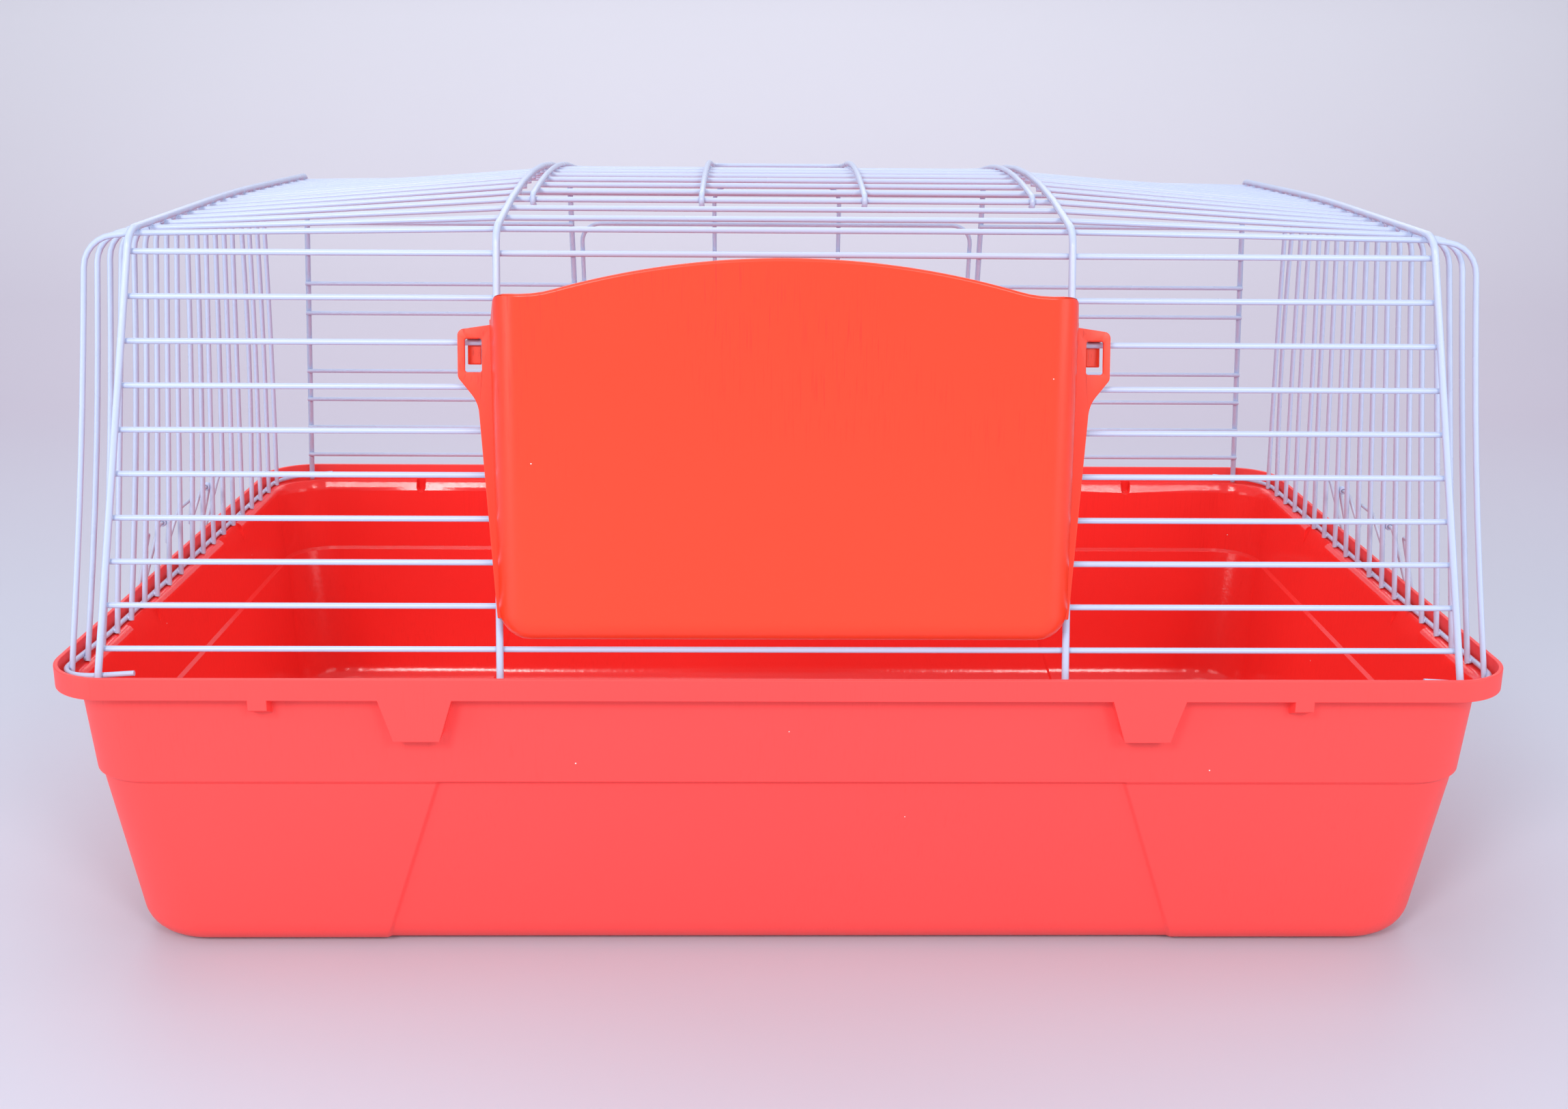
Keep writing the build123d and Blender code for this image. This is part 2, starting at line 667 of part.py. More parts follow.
with BuildPart() as hay_feeder:
    add(hopper(0.0))
    add(hopper(feeder_wall), mode=Mode.SUBTRACT)
    # arched top edge of the front panel, between two flat shoulders
    with BuildSketch(Plane.XZ.offset(feeder_front)):
        with BuildLine():
            shoulder_x = feeder_half - feeder_shoulder
            reach = feeder_half + feeder_deep
            high = feeder_top_z + 2 * feeder_deep
            left = Polyline(
                (-shoulder_x, feeder_shoulder_z),
                (-reach, feeder_shoulder_z),
                (-reach, high),
                (reach, high),
                (reach, feeder_shoulder_z),
                (shoulder_x, feeder_shoulder_z),
            )
            ThreePointArc(left @ 1, (0, feeder_top_z), left @ 0)
        make_face()
    extrude(amount=-2 * feeder_deep, mode=Mode.SUBTRACT)
    # the side walls slope down from the shoulders to the ears
    with BuildSketch(Plane.YZ.offset(-feeder_half - feeder_deep)):
        side_y = -feeder_front + feeder_edge
        ear_y = -wall_y(rim_z + feeder_side_top, -back_gap)
        with BuildLine():
            Polyline(
                (side_y, feeder_shoulder_z),
                (ear_y, rim_z + feeder_side_top),
                (ear_y + feeder_deep, rim_z + feeder_side_top),
                (ear_y + feeder_deep, feeder_top_z),
                (side_y, feeder_top_z),
                close=True,
            )
        make_face()
    extrude(amount=2 * (feeder_half + feeder_deep), mode=Mode.SUBTRACT)
    split(bisect_by=back_plane, keep=Keep.TOP)

    # flange and ear on the wire wall, with the window that shows the hook
    bar_up = up_wall(row_z(feeder_hook_row) - rim_z, lay)
    arm_low = bar_up + bar_wire / 2 + hinge_gap
    with BuildSketch(back_plane) as flange:
        ear_top = arm_low + tongue_arm + ear_crown
        inner = feeder_half_at(flange_low_rise) - feeder_wall / 2
        inner_top = feeder_half_at(feeder_side_top) - feeder_wall / 2
        root = feeder_half_at(ear_root_rise) + flange_width
        Polygon(
            (inner, up_wall(flange_low_rise, -back_gap)),
            (feeder_half_at(flange_low_rise) + flange_foot, up_wall(flange_low_rise, -back_gap)),
            (root, up_wall(ear_root_rise, -back_gap)),
            (ear_half, up_wall(ear_low_rise, -back_gap)),
            (ear_half, ear_top),
            (inner_top, ear_top),
            align=None,
        )
        fillet(flange.vertices().sort_by(Axis.X)[-2:], ear_round)
        window_x = ear_half - window_in - window_width / 2
        with Locations((window_x, arm_low - window_height / 2)):
            Rectangle(window_width, window_height, mode=Mode.SUBTRACT)
        mirror(about=Plane.YZ)
    extrude(amount=feeder_wall)

    # hooks: an arm over the bar and a tongue down behind it
    tongue_x = window_x - tongue_width / 2
    tongue_front = back_gap + lay + bar_wire / 2 + hinge_gap
    hook_origin = back_plane.origin + Vector(tongue_x, 0, 0)
    hook_plane = Plane(origin=hook_origin, x_dir=-back_plane.z_dir, z_dir=(1, 0, 0))
    with BuildSketch(hook_plane):
        with BuildLine():
            Polyline(
                (-feeder_wall, arm_low + tongue_arm),
                (tongue_front + feeder_wall, arm_low + tongue_arm),
                (tongue_front + feeder_wall, bar_up - tongue_drop),
                (tongue_front, bar_up - tongue_drop),
                (tongue_front, arm_low),
                (-feeder_wall, arm_low),
                close=True,
            )
        make_face()
    hook_arm = extrude(amount=tongue_width)
    mirror(hook_arm, about=Plane.YZ)
save(hay_feeder, "hay_feeder")
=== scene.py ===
from math import asin, atan, cos, pi, radians, sin, sqrt, tan
from random import Random

import bmesh
import bpy
from mathutils import Matrix, Vector


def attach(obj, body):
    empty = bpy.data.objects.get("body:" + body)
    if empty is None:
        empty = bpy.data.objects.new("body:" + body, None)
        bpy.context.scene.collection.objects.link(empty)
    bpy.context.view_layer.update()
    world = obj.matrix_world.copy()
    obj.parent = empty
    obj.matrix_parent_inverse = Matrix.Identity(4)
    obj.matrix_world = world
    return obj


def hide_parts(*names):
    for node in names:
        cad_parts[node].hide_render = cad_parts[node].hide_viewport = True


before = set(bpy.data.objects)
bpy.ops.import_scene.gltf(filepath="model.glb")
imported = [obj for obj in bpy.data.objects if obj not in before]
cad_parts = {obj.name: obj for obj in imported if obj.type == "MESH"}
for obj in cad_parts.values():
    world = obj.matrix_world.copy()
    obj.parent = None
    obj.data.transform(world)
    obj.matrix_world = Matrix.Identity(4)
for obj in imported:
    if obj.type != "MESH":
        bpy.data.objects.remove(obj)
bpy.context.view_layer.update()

# Tray. One deep tub, injection moulded in red polypropylene: finely grained outside by the mould's cavity,
# polished inside by its core. A band with a ledge behind it stiffens the rim and carries the wire top.
# Hollow lugs and small ribs support the band, and the end ledges have shallow recesses.
tray_half_x, tray_half_y, rim_z = 0.400, 0.250, 0.176
tray_wall, rim_ledge, rim_corner, tub_corner = 0.0025, 0.010, 0.036, 0.035
band_z = rim_z - 0.0125
ledge_z = band_z + tray_wall
step_z, step_in = rim_z - 0.065, 0.002
upper_slope, side_draft, end_draft = tan(radians(4)), radians(8), radians(5)
floor_corner, floor_round, ledge_round = 0.044, 0.020, 0.005
flare_fall, flare_in, flare_slope = 0.0085, 0.003, tan(radians(22))
end_flare, lip_curl = 0.0004, 0.0012
panel_in, panel_top, panel_low = 0.002, 0.1895, 0.227
lug_x, lug_low_half, lug_top_half, lug_low = 0.198, 0.0125, 0.0205, band_z - 0.0235
rib_x, rib_half, rib_tip, rib_root = 0.282, 0.0052, band_z - 0.0056, band_z - 0.0110
lug_depth = 0.0121
pocket_half, pocket_fall, pocket_in, pocket_depth = 0.0036, 0.0068, 0.0068, 0.0105
niche_half, niche_in, niche_low, niche_tail = 0.0228, 0.0045, band_z - 0.012, 0.004
niche_places, niche_prop_roots, niche_hollow_root = (-0.1057, 0.0823), (-0.0032, -0.0007), -0.012
niche_fall = niche_in + (band_z - niche_low) * upper_slope
overlap = 0.001
sharp_turn, soft_rim, soft_lug, soft_hair = radians(24), 0.0006, 0.00045, 0.0001


def node_tree(name, kind, inputs, outputs):
    """New node tree with its sockets, and those sockets as seen from inside it."""
    tree = bpy.data.node_groups.new(name, kind)
    for label, socket_kind, value in inputs:
        socket = tree.interface.new_socket(label, in_out="INPUT", socket_type="NodeSocket" + socket_kind)
        if value is not None:
            socket.default_value = value
    for label, socket_kind in outputs:
        tree.interface.new_socket(label, in_out="OUTPUT", socket_type="NodeSocket" + socket_kind)
    return tree, tree.nodes.new("NodeGroupInput").outputs, tree.nodes.new("NodeGroupOutput").inputs


def feed(tree, socket, value):
    """Link a socket to another one, or give it a number."""
    if isinstance(value, float):
        socket.default_value = value
    else:
        tree.links.new(value, socket)


def maths(tree, operation, *values):
    """Output of a maths node."""
    node = tree.nodes.new("ShaderNodeMath")
    node.operation = operation
    for socket, value in zip(node.inputs, values):
        feed(tree, socket, value)
    return node.outputs[0]


def stretched(tree, value, low, high):
    """Output of a node that makes a value run from nought to one between two limits."""
    node = tree.nodes.new("ShaderNodeMapRange")
    for label, source in (("Value", value), ("From Min", low), ("From Max", high)):
        feed(tree, node.inputs[label], source)
    return node.outputs["Result"]


def skin_group():
    """Surface of a moulded or coated piece: slow changes of tone, uneven gloss and a fine grain."""
    inputs = (
        ("Color", "Color", (0.8, 0.8, 0.8, 1)),
        ("Tone Spread", "Float", 0.06),
        ("Roughness", "Float", 0.4),
        ("Gloss Spread", "Float", 0.1),
        ("Patch Scale", "Float", 7.0),
        ("Grain Scale", "Float", 900.0),
        ("Grain Depth", "Float", 0.05),
    )
    outputs = (("Color", "Color"), ("Roughness", "Float"), ("Normal", "Vector"))
    group, given, result = node_tree("moulded skin", "ShaderNodeTree", inputs, outputs)
    add, wire = group.nodes.new, group.links.new
    place = add("ShaderNodeTexCoord").outputs["Object"]
    patch, grain = add("ShaderNodeTexNoise"), add("ShaderNodeTexNoise")
    for noise, scale, detail in ((patch, "Patch Scale", 4), (grain, "Grain Scale", 2)):
        wire(place, noise.inputs["Vector"])
        wire(given[scale], noise.inputs["Scale"])
        noise.inputs["Detail"].default_value = detail
    centred = maths(group, "SUBTRACT", patch.outputs["Fac"], 0.5)
    tone, bump = add("ShaderNodeHueSaturation"), add("ShaderNodeBump")
    wire(given["Color"], tone.inputs["Color"])
    wire(maths(group, "MULTIPLY_ADD", centred, given["Tone Spread"], 1.0), tone.inputs["Value"])
    bump.inputs["Distance"].default_value = 0.0002
    wire(given["Grain Depth"], bump.inputs["Strength"])
    wire(grain.outputs["Fac"], bump.inputs["Height"])
    gloss = maths(group, "MULTIPLY_ADD", centred, given["Gloss Spread"], given["Roughness"])
    wire(tone.outputs["Color"], result["Color"])
    wire(gloss, result["Roughness"])
    wire(bump.outputs["Normal"], result["Normal"])
    return group


def marks_group():
    """Marks of use: sparse pale specks, and fine scuffs stretched along one direction."""
    inputs = (
        ("Color", "Color", (0.8, 0.1, 0.1, 1)),
        ("Roughness", "Float", 0.4),
        ("Speck Scale", "Float", 45.0),
        ("Speck Size", "Float", 0.02),
        ("Scuff Stretch", "Vector", (1000.0, 1000.0, 40.0)),
        ("Scuff Amount", "Float", 0.0),
        ("Scuff Low", "Float", -1.0),
        ("Scuff High", "Float", -0.9),
    )
    outputs = (("Color", "Color"), ("Roughness", "Float"))
    group, given, result = node_tree("marks of use", "ShaderNodeTree", inputs, outputs)
    add, wire = group.nodes.new, group.links.new
    place = add("ShaderNodeTexCoord").outputs["Object"]
    cells, height = add("ShaderNodeTexVoronoi"), add("ShaderNodeSeparateXYZ")
    wire(place, cells.inputs["Vector"])
    wire(given["Speck Scale"], cells.inputs["Scale"])
    speck = maths(group, "LESS_THAN", cells.outputs["Distance"], given["Speck Size"])
    long_way = add("ShaderNodeVectorMath")
    long_way.operation = "MULTIPLY"
    wire(place, long_way.inputs[0])
    wire(given["Scuff Stretch"], long_way.inputs[1])
    streak, spread = add("ShaderNodeTexNoise"), add("ShaderNodeTexNoise")
    wire(long_way.outputs[0], streak.inputs["Vector"])
    streak.inputs["Scale"].default_value, streak.inputs["Detail"].default_value = 1.0, 3.0
    wire(place, spread.inputs["Vector"])
    spread.inputs["Scale"].default_value = 9.0
    wire(place, height.inputs[0])
    sharp = stretched(group, streak.outputs["Fac"], 0.54, 0.68)
    patchy = stretched(group, spread.outputs["Fac"], 0.42, 0.58)
    climb = stretched(group, height.outputs["Z"], given["Scuff Low"], given["Scuff High"])
    scuff = maths(group, "MULTIPLY", maths(group, "MULTIPLY", sharp, patchy), climb)
    amount = maths(group, "MULTIPLY", scuff, given["Scuff Amount"])
    darker, dusty = add("ShaderNodeMix"), add("ShaderNodeMix")
    darker.blend_type = "MULTIPLY"
    for mix, share, under, over in (
        (darker, amount, given["Color"], (0.72, 0.52, 0.5, 1)),
        (dusty, speck, darker.outputs[2], (0.85, 0.72, 0.68, 1)),
    ):
        mix.data_type = "RGBA"
        wire(share, mix.inputs["Factor"])
        wire(under, mix.inputs[6])
        mix.inputs[7].default_value = over
    wire(dusty.outputs[2], result["Color"])
    wire(maths(group, "MULTIPLY_ADD", amount, 0.2, given["Roughness"]), result["Roughness"])
    return group


moulded_skin, marks_of_use = skin_group(), marks_group()


def finish_material(name, color, roughness, marks=None, **values):
    """Material that takes colour, gloss and grain from the skin group, with marks of use if given."""
    material = bpy.data.materials.new(name)
    material.use_nodes = True
    nodes, links = material.node_tree.nodes, material.node_tree.links
    surface = nodes["Principled BSDF"]
    skin = nodes.new("ShaderNodeGroup")
    skin.node_tree = moulded_skin
    skin.inputs["Color"].default_value = (*color, 1)
    skin.inputs["Roughness"].default_value = roughness
    for key, value in values.items():
        skin.inputs[key.replace("_", " ").title()].default_value = value
    links.new(skin.outputs["Normal"], surface.inputs["Normal"])
    last = skin
    if marks is not None:
        last = nodes.new("ShaderNodeGroup")
        last.node_tree = marks_of_use
        for key, value in marks.items():
            last.inputs[key].default_value = value
        for output in ("Color", "Roughness"):
            links.new(skin.outputs[output], last.inputs[output])
    links.new(last.outputs["Color"], surface.inputs["Base Color"])
    links.new(last.outputs["Roughness"], surface.inputs["Roughness"])
    return material


# One red plastic in two colours: the outside's paler red is painted light for the bright front light on it,
# and the inside's deeper red is painted shade.
tray_outside_painted_lit = finish_material(
    "tray outside, fine grain, painted paler", (0.97, 0.067, 0.062), 0.48, {"Scuff Amount": 0.1}, grain_depth=0.12
)
tray_inside_painted_shade = finish_material(
    "tray inside, polished, painted deeper",
    (0.98, 0.042, 0.036),
    0.15,
    {"Scuff Amount": 0.15},
    gloss_spread=0.06,
    grain_scale=300.0,
    grain_depth=0.5,
)


def round_steps(count, low, high):
    """Evenly spaced turns from low to high, both included."""
    return [low + (high - low) * step / count for step in range(count + 1)]


def tray_ring(z, end_in, side_in, corner, sunk):
    """Outline at one height, with points at both edges of the sunk middle panels."""
    half_x, half_y = tray_half_x - end_in, tray_half_y - side_in
    edge = panel_low + (panel_top - panel_low) * min(z / (step_z - step_in), 1)
    ring = []
    for turn, (side_x, side_y) in enumerate(((1, 1), (-1, 1), (-1, -1), (1, -1))):
        for swing in round_steps(16, turn * pi / 2, (turn + 1) * pi / 2):
            x = side_x * (half_x - corner) + corner * cos(swing)
            y = side_y * (half_y - corner) + corner * sin(swing)
            ring.append((x, y, z))
        if turn in (0, 2):
            for x in (edge + panel_in, edge, edge / 2, 0, -edge / 2, -edge, -edge - panel_in):
                inward = sunk if abs(x) <= edge else 0.0
                ring.append((side_x * x, side_y * (half_y - inward), z))
    return ring


def tub_levels(inset):
    """Levels of the tub or its hollow from the floor up: height, distance inside the rim at the ends
    and at the sides, corner radius and depth of the middle panels."""
    corner = tub_corner - inset
    shoulder_z = step_z + inset * tan(pi / 8)
    shoulder = rim_ledge + inset + (band_z - shoulder_z) * upper_slope
    wall_z, wall = shoulder_z - step_in, shoulder + step_in
    bend = floor_round - inset
    foot_end, foot_side = (
        wall + (wall_z - inset - bend) * tan(draft) + bend / cos(draft) for draft in (end_draft, side_draft)
    )
    levels = []
    for swing in round_steps(8, 0, pi / 2 - side_draft):
        z, curl = inset + bend * (1 - cos(swing)), bend * sin(swing)
        levels.append((z, foot_end - curl, foot_side - curl, floor_corner - inset - bend + curl, panel_in))
    levels.append((wall_z, wall, wall, corner, panel_in))
    levels.append((shoulder_z, shoulder, shoulder, corner, 0.0))
    return levels


outer, inner = tub_levels(0.0), tub_levels(tray_wall)
for z, inside, corner in (
    (band_z, rim_ledge, tub_corner),
    (band_z, 0.0, rim_corner),
    (rim_z, 0.0, rim_corner),
    (rim_z, tray_wall, rim_corner - tray_wall),
):
    outer.append((z, inside, inside, corner, 0.0))
lip, lip_corner = rim_ledge + tray_wall, tub_corner - tray_wall
inner.append((ledge_z - flare_fall, lip + end_flare, lip + flare_in, lip_corner, 0.0))
for swing in round_steps(5, 0, pi / 2):
    fall, curl = ledge_round * (1 - sin(swing)), ledge_round * (1 - cos(swing))
    flared = (flare_fall - fall) * flare_slope + lip_curl * (1 - cos(swing)) ** 3 - flare_in
    inner.append((ledge_z - fall, lip - curl, lip - flared, lip_corner + curl, 0.0))
inner.append((ledge_z, tray_wall, tray_wall, rim_corner - tray_wall, 0.0))
tray = bmesh.new()
rings = []
for level in outer + inner[::-1]:
    rings.append([tray.verts.new(point) for point in tray_ring(*level)])
tray.faces.new(rings[0][::-1])
tray.faces.new(rings[-1]).material_index = 1
for number, (low, high) in enumerate(zip(rings, rings[1:])):
    for place in range(len(low)):
        after = (place + 1) % len(low)
        quad = tray.faces.new((low[place], low[after], high[after], high[place]))
        quad.material_index = 1 if number >= len(outer) else 0


def soften(bm, edges, width):
    """Round some edges of a mesh in progress."""
    options = {"segments": 4, "profile": 0.5, "affect": "EDGES", "clamp_overlap": True}
    bmesh.ops.bevel(bm, geom=list(edges), offset=width, **options)


bmesh.ops.recalc_face_normals(tray, faces=tray.faces)
outside_edges = [edge for edge in tray.edges if not any(face.material_index for face in edge.link_faces)]
soften(tray, [edge for edge in outside_edges if edge.calc_face_angle() > sharp_turn], soft_rim)


def prism(bm, outline, push, material_index=0):
    """Closed block from a flat outline pushed along a vector."""
    near = [bm.verts.new(point) for point in outline]
    far = [bm.verts.new(Vector(point) + push) for point in outline]
    faces = [bm.faces.new(near), bm.faces.new(far[::-1])]
    for place in range(len(near)):
        after = (place + 1) % len(near)
        faces.append(bm.faces.new((near[after], near[place], far[place], far[after])))
    for face in faces:
        face.material_index = material_index
    return faces


def new_object(name, data):
    """Object at the origin of the scene."""
    item = bpy.data.objects.new(name, data)
    bpy.context.scene.collection.objects.link(item)
    return item


def made_object(name, bm):
    """Object from a mesh in progress, with its normals outwards."""
    bmesh.ops.recalc_face_normals(bm, faces=bm.faces)
    mesh = bpy.data.meshes.new(name)
    bm.to_mesh(mesh)
    bm.free()
    return new_object(name, mesh)


def settled(piece):
    """The piece's mesh replaced by what its modifiers make of it."""
    bpy.context.view_layer.update()
    seen = piece.evaluated_get(bpy.context.evaluated_depsgraph_get())
    made = bpy.data.meshes.new_from_object(seen)
    piece.modifiers.clear()
    raw, piece.data = piece.data, made
    bpy.data.meshes.remove(raw)


def combine(piece, bm, operation):
    """Join a mesh in progress to the piece, or cut it out of it."""
    tool = made_object("tool", bm)
    for material in piece.data.materials:
        tool.data.materials.append(material)
    change = piece.modifiers.new("change", "BOOLEAN")
    change.object, change.operation, change.solver = tool, operation, "EXACT"
    settled(piece)
    tool_mesh = tool.data
    bpy.data.objects.remove(tool)
    bpy.data.meshes.remove(tool_mesh)


def trapezoid(x, low_half, top_half, low_z, top_z, y):
    """Corners of an upright trapezoid or rectangle that faces along Y."""
    corners = ((-low_half, low_z), (low_half, low_z), (top_half, top_z), (-top_half, top_z))
    return [(x + px, y, pz) for px, pz in corners]


def arched_slot(x, half, low_z, top_z, y):
    """Corners of an upright slot with a round lower end."""
    swings = round_steps(10, pi, 2 * pi)
    bow = [(x + half * cos(swing), y, low_z + half + half * sin(swing)) for swing in swings]
    return bow + [(x + half, y, top_z), (x - half, y, top_z)]


props, hollows = bmesh.new(), bmesh.new()
for side in (-1, 1):
    face_y, back_y = side * tray_half_y, side * (tray_half_y - tray_wall)
    inward = Vector((0, -side, 0))
    root_y, top_z = face_y - side * lug_depth, band_z + 2 * overlap
    for x in (-lug_x, lug_x):
        outline = trapezoid(x, lug_low_half, lug_top_half, lug_low, top_z, face_y)
        lug = prism(props, outline, inward * lug_depth)
        soften(props, {edge for face in lug for edge in face.edges}, soft_lug)
        low_half, top_half = lug_low_half - tray_wall, lug_top_half - tray_wall
        hollow = trapezoid(x, low_half, top_half, lug_low - overlap, band_z, back_y)
        prism(hollows, hollow, inward * (rim_ledge - 2 * tray_wall + overlap))
    for x in (-rib_x, rib_x):
        gusset = [(face_y, top_z), (face_y, rib_tip), (root_y, rib_root), (root_y, top_z)]
        rib = prism(props, [(x - rib_half, y, z) for y, z in gusset], Vector((2 * rib_half, 0, 0)))
        soften(props, {edge for face in rib for edge in face.edges}, soft_lug)
        pocket_y = face_y - side * pocket_in
        pocket = arched_slot(x, pocket_half, band_z - pocket_fall, ledge_z + overlap, pocket_y)
        prism(hollows, pocket, inward * pocket_depth, 1)
    wall_x = side * (tray_half_x - rim_ledge)
    for y in niche_places:
        for bm, half, reach, (low_root, top_root), turn_z, finish in (
            (props, niche_half + tray_wall, niche_in, niche_prop_roots, band_z, 0),
            (hollows, niche_half, niche_in - tray_wall, (niche_hollow_root, niche_hollow_root), ledge_z, 1),
        ):
            low_z, top_z = niche_low - niche_tail, turn_z + overlap
            foot = reach - niche_fall * (turn_z - niche_low + niche_tail) / (turn_z - niche_low)
            profile = [(low_root, low_z), (foot, low_z), (reach, turn_z), (reach, top_z), (top_root, top_z)]
            outline = [(wall_x + side * px, y - half, pz) for px, pz in profile]
            prism(bm, outline, Vector((0, 2 * half, 0)), finish)
tray_piece = made_object("tray_tub", tray)
tray_piece.data.materials.append(tray_outside_painted_lit)
tray_piece.data.materials.append(tray_inside_painted_shade)
combine(tray_piece, props, "UNION")
combine(tray_piece, hollows, "DIFFERENCE")


def placed(piece, body, slot, *nodes, bevel=0.0):
    """Soft edges for a finished piece, which rides on its body in place of its nodes."""
    piece.data.shade_smooth()
    if bevel:
        edge = piece.modifiers.new("soft edges", "BEVEL")
        edge.width, edge.segments, edge.angle_limit = bevel, 2, sharp_turn
        edge.use_clamp_overlap = False
        piece.modifiers.new("no doubles", "WELD").merge_threshold = 0.00002
        piece.modifiers.new("flat faces", "WEIGHTED_NORMAL")
    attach(piece, body)
    if nodes:
        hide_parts(*nodes)


placed(tray_piece, "cage", "tray_plastic", "base_tray", bevel=soft_hair)

# Posts and arches of the wire top. Four thick wires, each bent in one plane from a foot on the ledge
# up the near wall, over the roof and down the far wall. All wires are steel, welded, then powder
# coated together in bluish white.
frame_wire, bar_wire, gate_wire, base_wire, clip_wire = 0.0040, 0.0027, 0.0032, 0.0030, 0.0024
# The coat is thinner on the roof and the far wall, where the gates' hooks turn on the bars.
coated_bar, worn_bar = bar_wire + 0.00055, bar_wire + 0.0004
seat_gap, hinge_gap = 0.0001, 0.0003
lean, end_lean = radians(11.4), radians(5.5)
post_inset, end_inset = 0.0081, 0.029
post_y, end_x0 = tray_half_y - tray_wall - post_inset, tray_half_x - tray_wall - end_inset
mid_x, frame_bend, ridge_bend = 0.153, 0.012, 1.02
eaves_z, ridge_z = rim_z + 0.2324, rim_z + 0.2662
end_eaves_z, end_ridge_z, end_ridge_bend = rim_z + 0.231, rim_z + 0.2345, 3.0
lay = (frame_wire + bar_wire) / 2
coat_finish = {"grain_scale": 1500.0, "grain_depth": 0.06}
coating = finish_material(
    "wire, bluish white powder coat", (0.50, 0.585, 0.79), 0.28, tone_spread=0.05, **coat_finish
)


def wire_tree():
    """Round wire along runs of straight lines, with the bend radius stored at each corner."""
    inputs = (
        ("Runs", "Geometry", None),
        ("Diameter", "Float", 0.003),
        ("Sides", "Int", 12),
        ("Bend Steps", "Int", 7),
        ("Coating", "Material", None),
    )
    tree, given, result = node_tree("bent round wire", "GeometryNodeTree", inputs, [("Wire", "Geometry")])
    add, wire = tree.nodes.new, tree.links.new
    line, corner = add("GeometryNodeMeshToCurve"), add("GeometryNodeFilletCurve")
    corner.mode = "POLY"
    radius = add("GeometryNodeInputNamedAttribute")
    radius.data_type = "FLOAT"
    radius.inputs["Name"].default_value = "bend"
    wire(radius.outputs["Attribute"], corner.inputs["Radius"])
    wire(given["Bend Steps"], corner.inputs["Count"])
    section, tube = add("GeometryNodeCurvePrimitiveCircle"), add("GeometryNodeCurveToMesh")
    wire(given["Sides"], section.inputs["Resolution"])
    wire(maths(tree, "MULTIPLY", given["Diameter"], 0.5), section.inputs["Radius"])
    wire(section.outputs["Curve"], tube.inputs["Profile Curve"])
    tube.inputs["Fill Caps"].default_value = True
    joined = add("GeometryNodeMergeByDistance")
    joined.inputs["Distance"].default_value = 0.00001
    flat, smooth = add("GeometryNodeSetShadeSmooth"), add("GeometryNodeSetShadeSmooth")
    flat.inputs["Shade Smooth"].default_value = False
    corners, side_face = add("GeometryNodeInputMeshFaceNeighbors"), add("FunctionNodeCompare")
    side_face.data_type, side_face.operation = "INT", "LESS_THAN"
    side_face.inputs[3].default_value = 5
    wire(corners.outputs["Vertex Count"], side_face.inputs[2])
    wire(side_face.outputs["Result"], smooth.inputs["Selection"])
    real, coat = add("GeometryNodeRealizeInstances"), add("GeometryNodeSetMaterial")
    wire(given["Coating"], coat.inputs["Material"])
    steps = (line, corner, tube, joined, flat, smooth, real, coat)
    for before, after in zip(steps, steps[1:]):
        wire(before.outputs[0], after.inputs[0])
    wire(given["Runs"], line.inputs["Mesh"])
    wire(coat.outputs["Geometry"], result["Wire"])
    return tree


round_wire = wire_tree()


def grown(piece, tree, values):
    """The piece's mesh replaced by what a node tree makes of it."""
    maker = piece.modifiers.new("maker", "NODES")
    maker.node_group = tree
    for socket in tree.interface.items_tree:
        if socket.name in values:
            maker[socket.identifier] = values[socket.name]
    settled(piece)


def wires(name, runs, diameter, body, nodes, steps=7, coat=None):
    """Piece made of wires, each given as its corner points and the radius at each inner corner."""
    points, edges, bends = [], [], []
    for corners, radii in runs:
        first = len(points)
        points += [tuple(point) for point in corners]
        edges += [(place, place + 1) for place in range(first, len(points) - 1)]
        bends += [0.0, *radii, 0.0]
    mesh = bpy.data.meshes.new(name)
    mesh.from_pydata(points, edges, [])
    mesh.attributes.new("bend", "FLOAT", "POINT").data.foreach_set("value", bends)
    piece = new_object(name, mesh)
    grown(piece, round_wire, {"Diameter": diameter, "Bend Steps": steps, "Coating": coat or coating})
    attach(piece, body)
    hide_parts(*nodes)


def wall_y(z, depth=0.0):
    """Distance from the middle of a wire that lies depth inside the posts of a long wall."""
    return post_y - (z - rim_z) * tan(lean) - depth / cos(lean)


def end_x(z):
    """Distance of an end frame from the middle at a height."""
    return end_x0 - (z - rim_z) * tan(end_lean)


eaves_y, end_eaves_y = wall_y(eaves_z), wall_y(end_eaves_z)
roof_slope = atan((ridge_z - eaves_z) / eaves_y)
end_slope = atan((end_ridge_z - end_eaves_z) / end_eaves_y)
foot_z = ledge_z + frame_wire / 2 * sin(lean) + seat_gap
foot_y = wall_y(foot_z)
for side, hand in ((-1, "left"), (1, "right")):
    x = side * mid_x
    arch = [(x, -foot_y, foot_z), (x, -eaves_y, eaves_z), (x, 0, ridge_z)]
    arch += [(x, eaves_y, eaves_z), (x, foot_y, foot_z)]
    bends = (frame_bend, ridge_bend, frame_bend)
    wires(f"arch_{hand}", [(arch, bends)], frame_wire, "cage", [f"mid_arch_{hand}"])
    foot_x, corner_x, top_x = (side * end_x(z) for z in (foot_z, end_eaves_z, end_ridge_z))
    gable = [(foot_x, -foot_y, foot_z), (corner_x, -end_eaves_y, end_eaves_z), (top_x, 0, end_ridge_z)]
    gable += [(corner_x, end_eaves_y, end_eaves_z), (foot_x, foot_y, foot_z)]
    bends = (frame_bend, end_ridge_bend, frame_bend)
    wires(f"corner_posts_{hand}", [(gable, bends)], frame_wire, "cage", [f"end_frame_{hand}"])

# Bars of the near and far walls, welded on the inside of the posts. The far wall has short bars
# beside its door and full bars only below and above it.
bar_first, bar_pitch, bar_tail = 0.0115, 0.0231, 0.0012
wall_rows, hinge_row = 10, 1
weld_points = {"cage": [], "roof_hatch": [], "back_door": []}


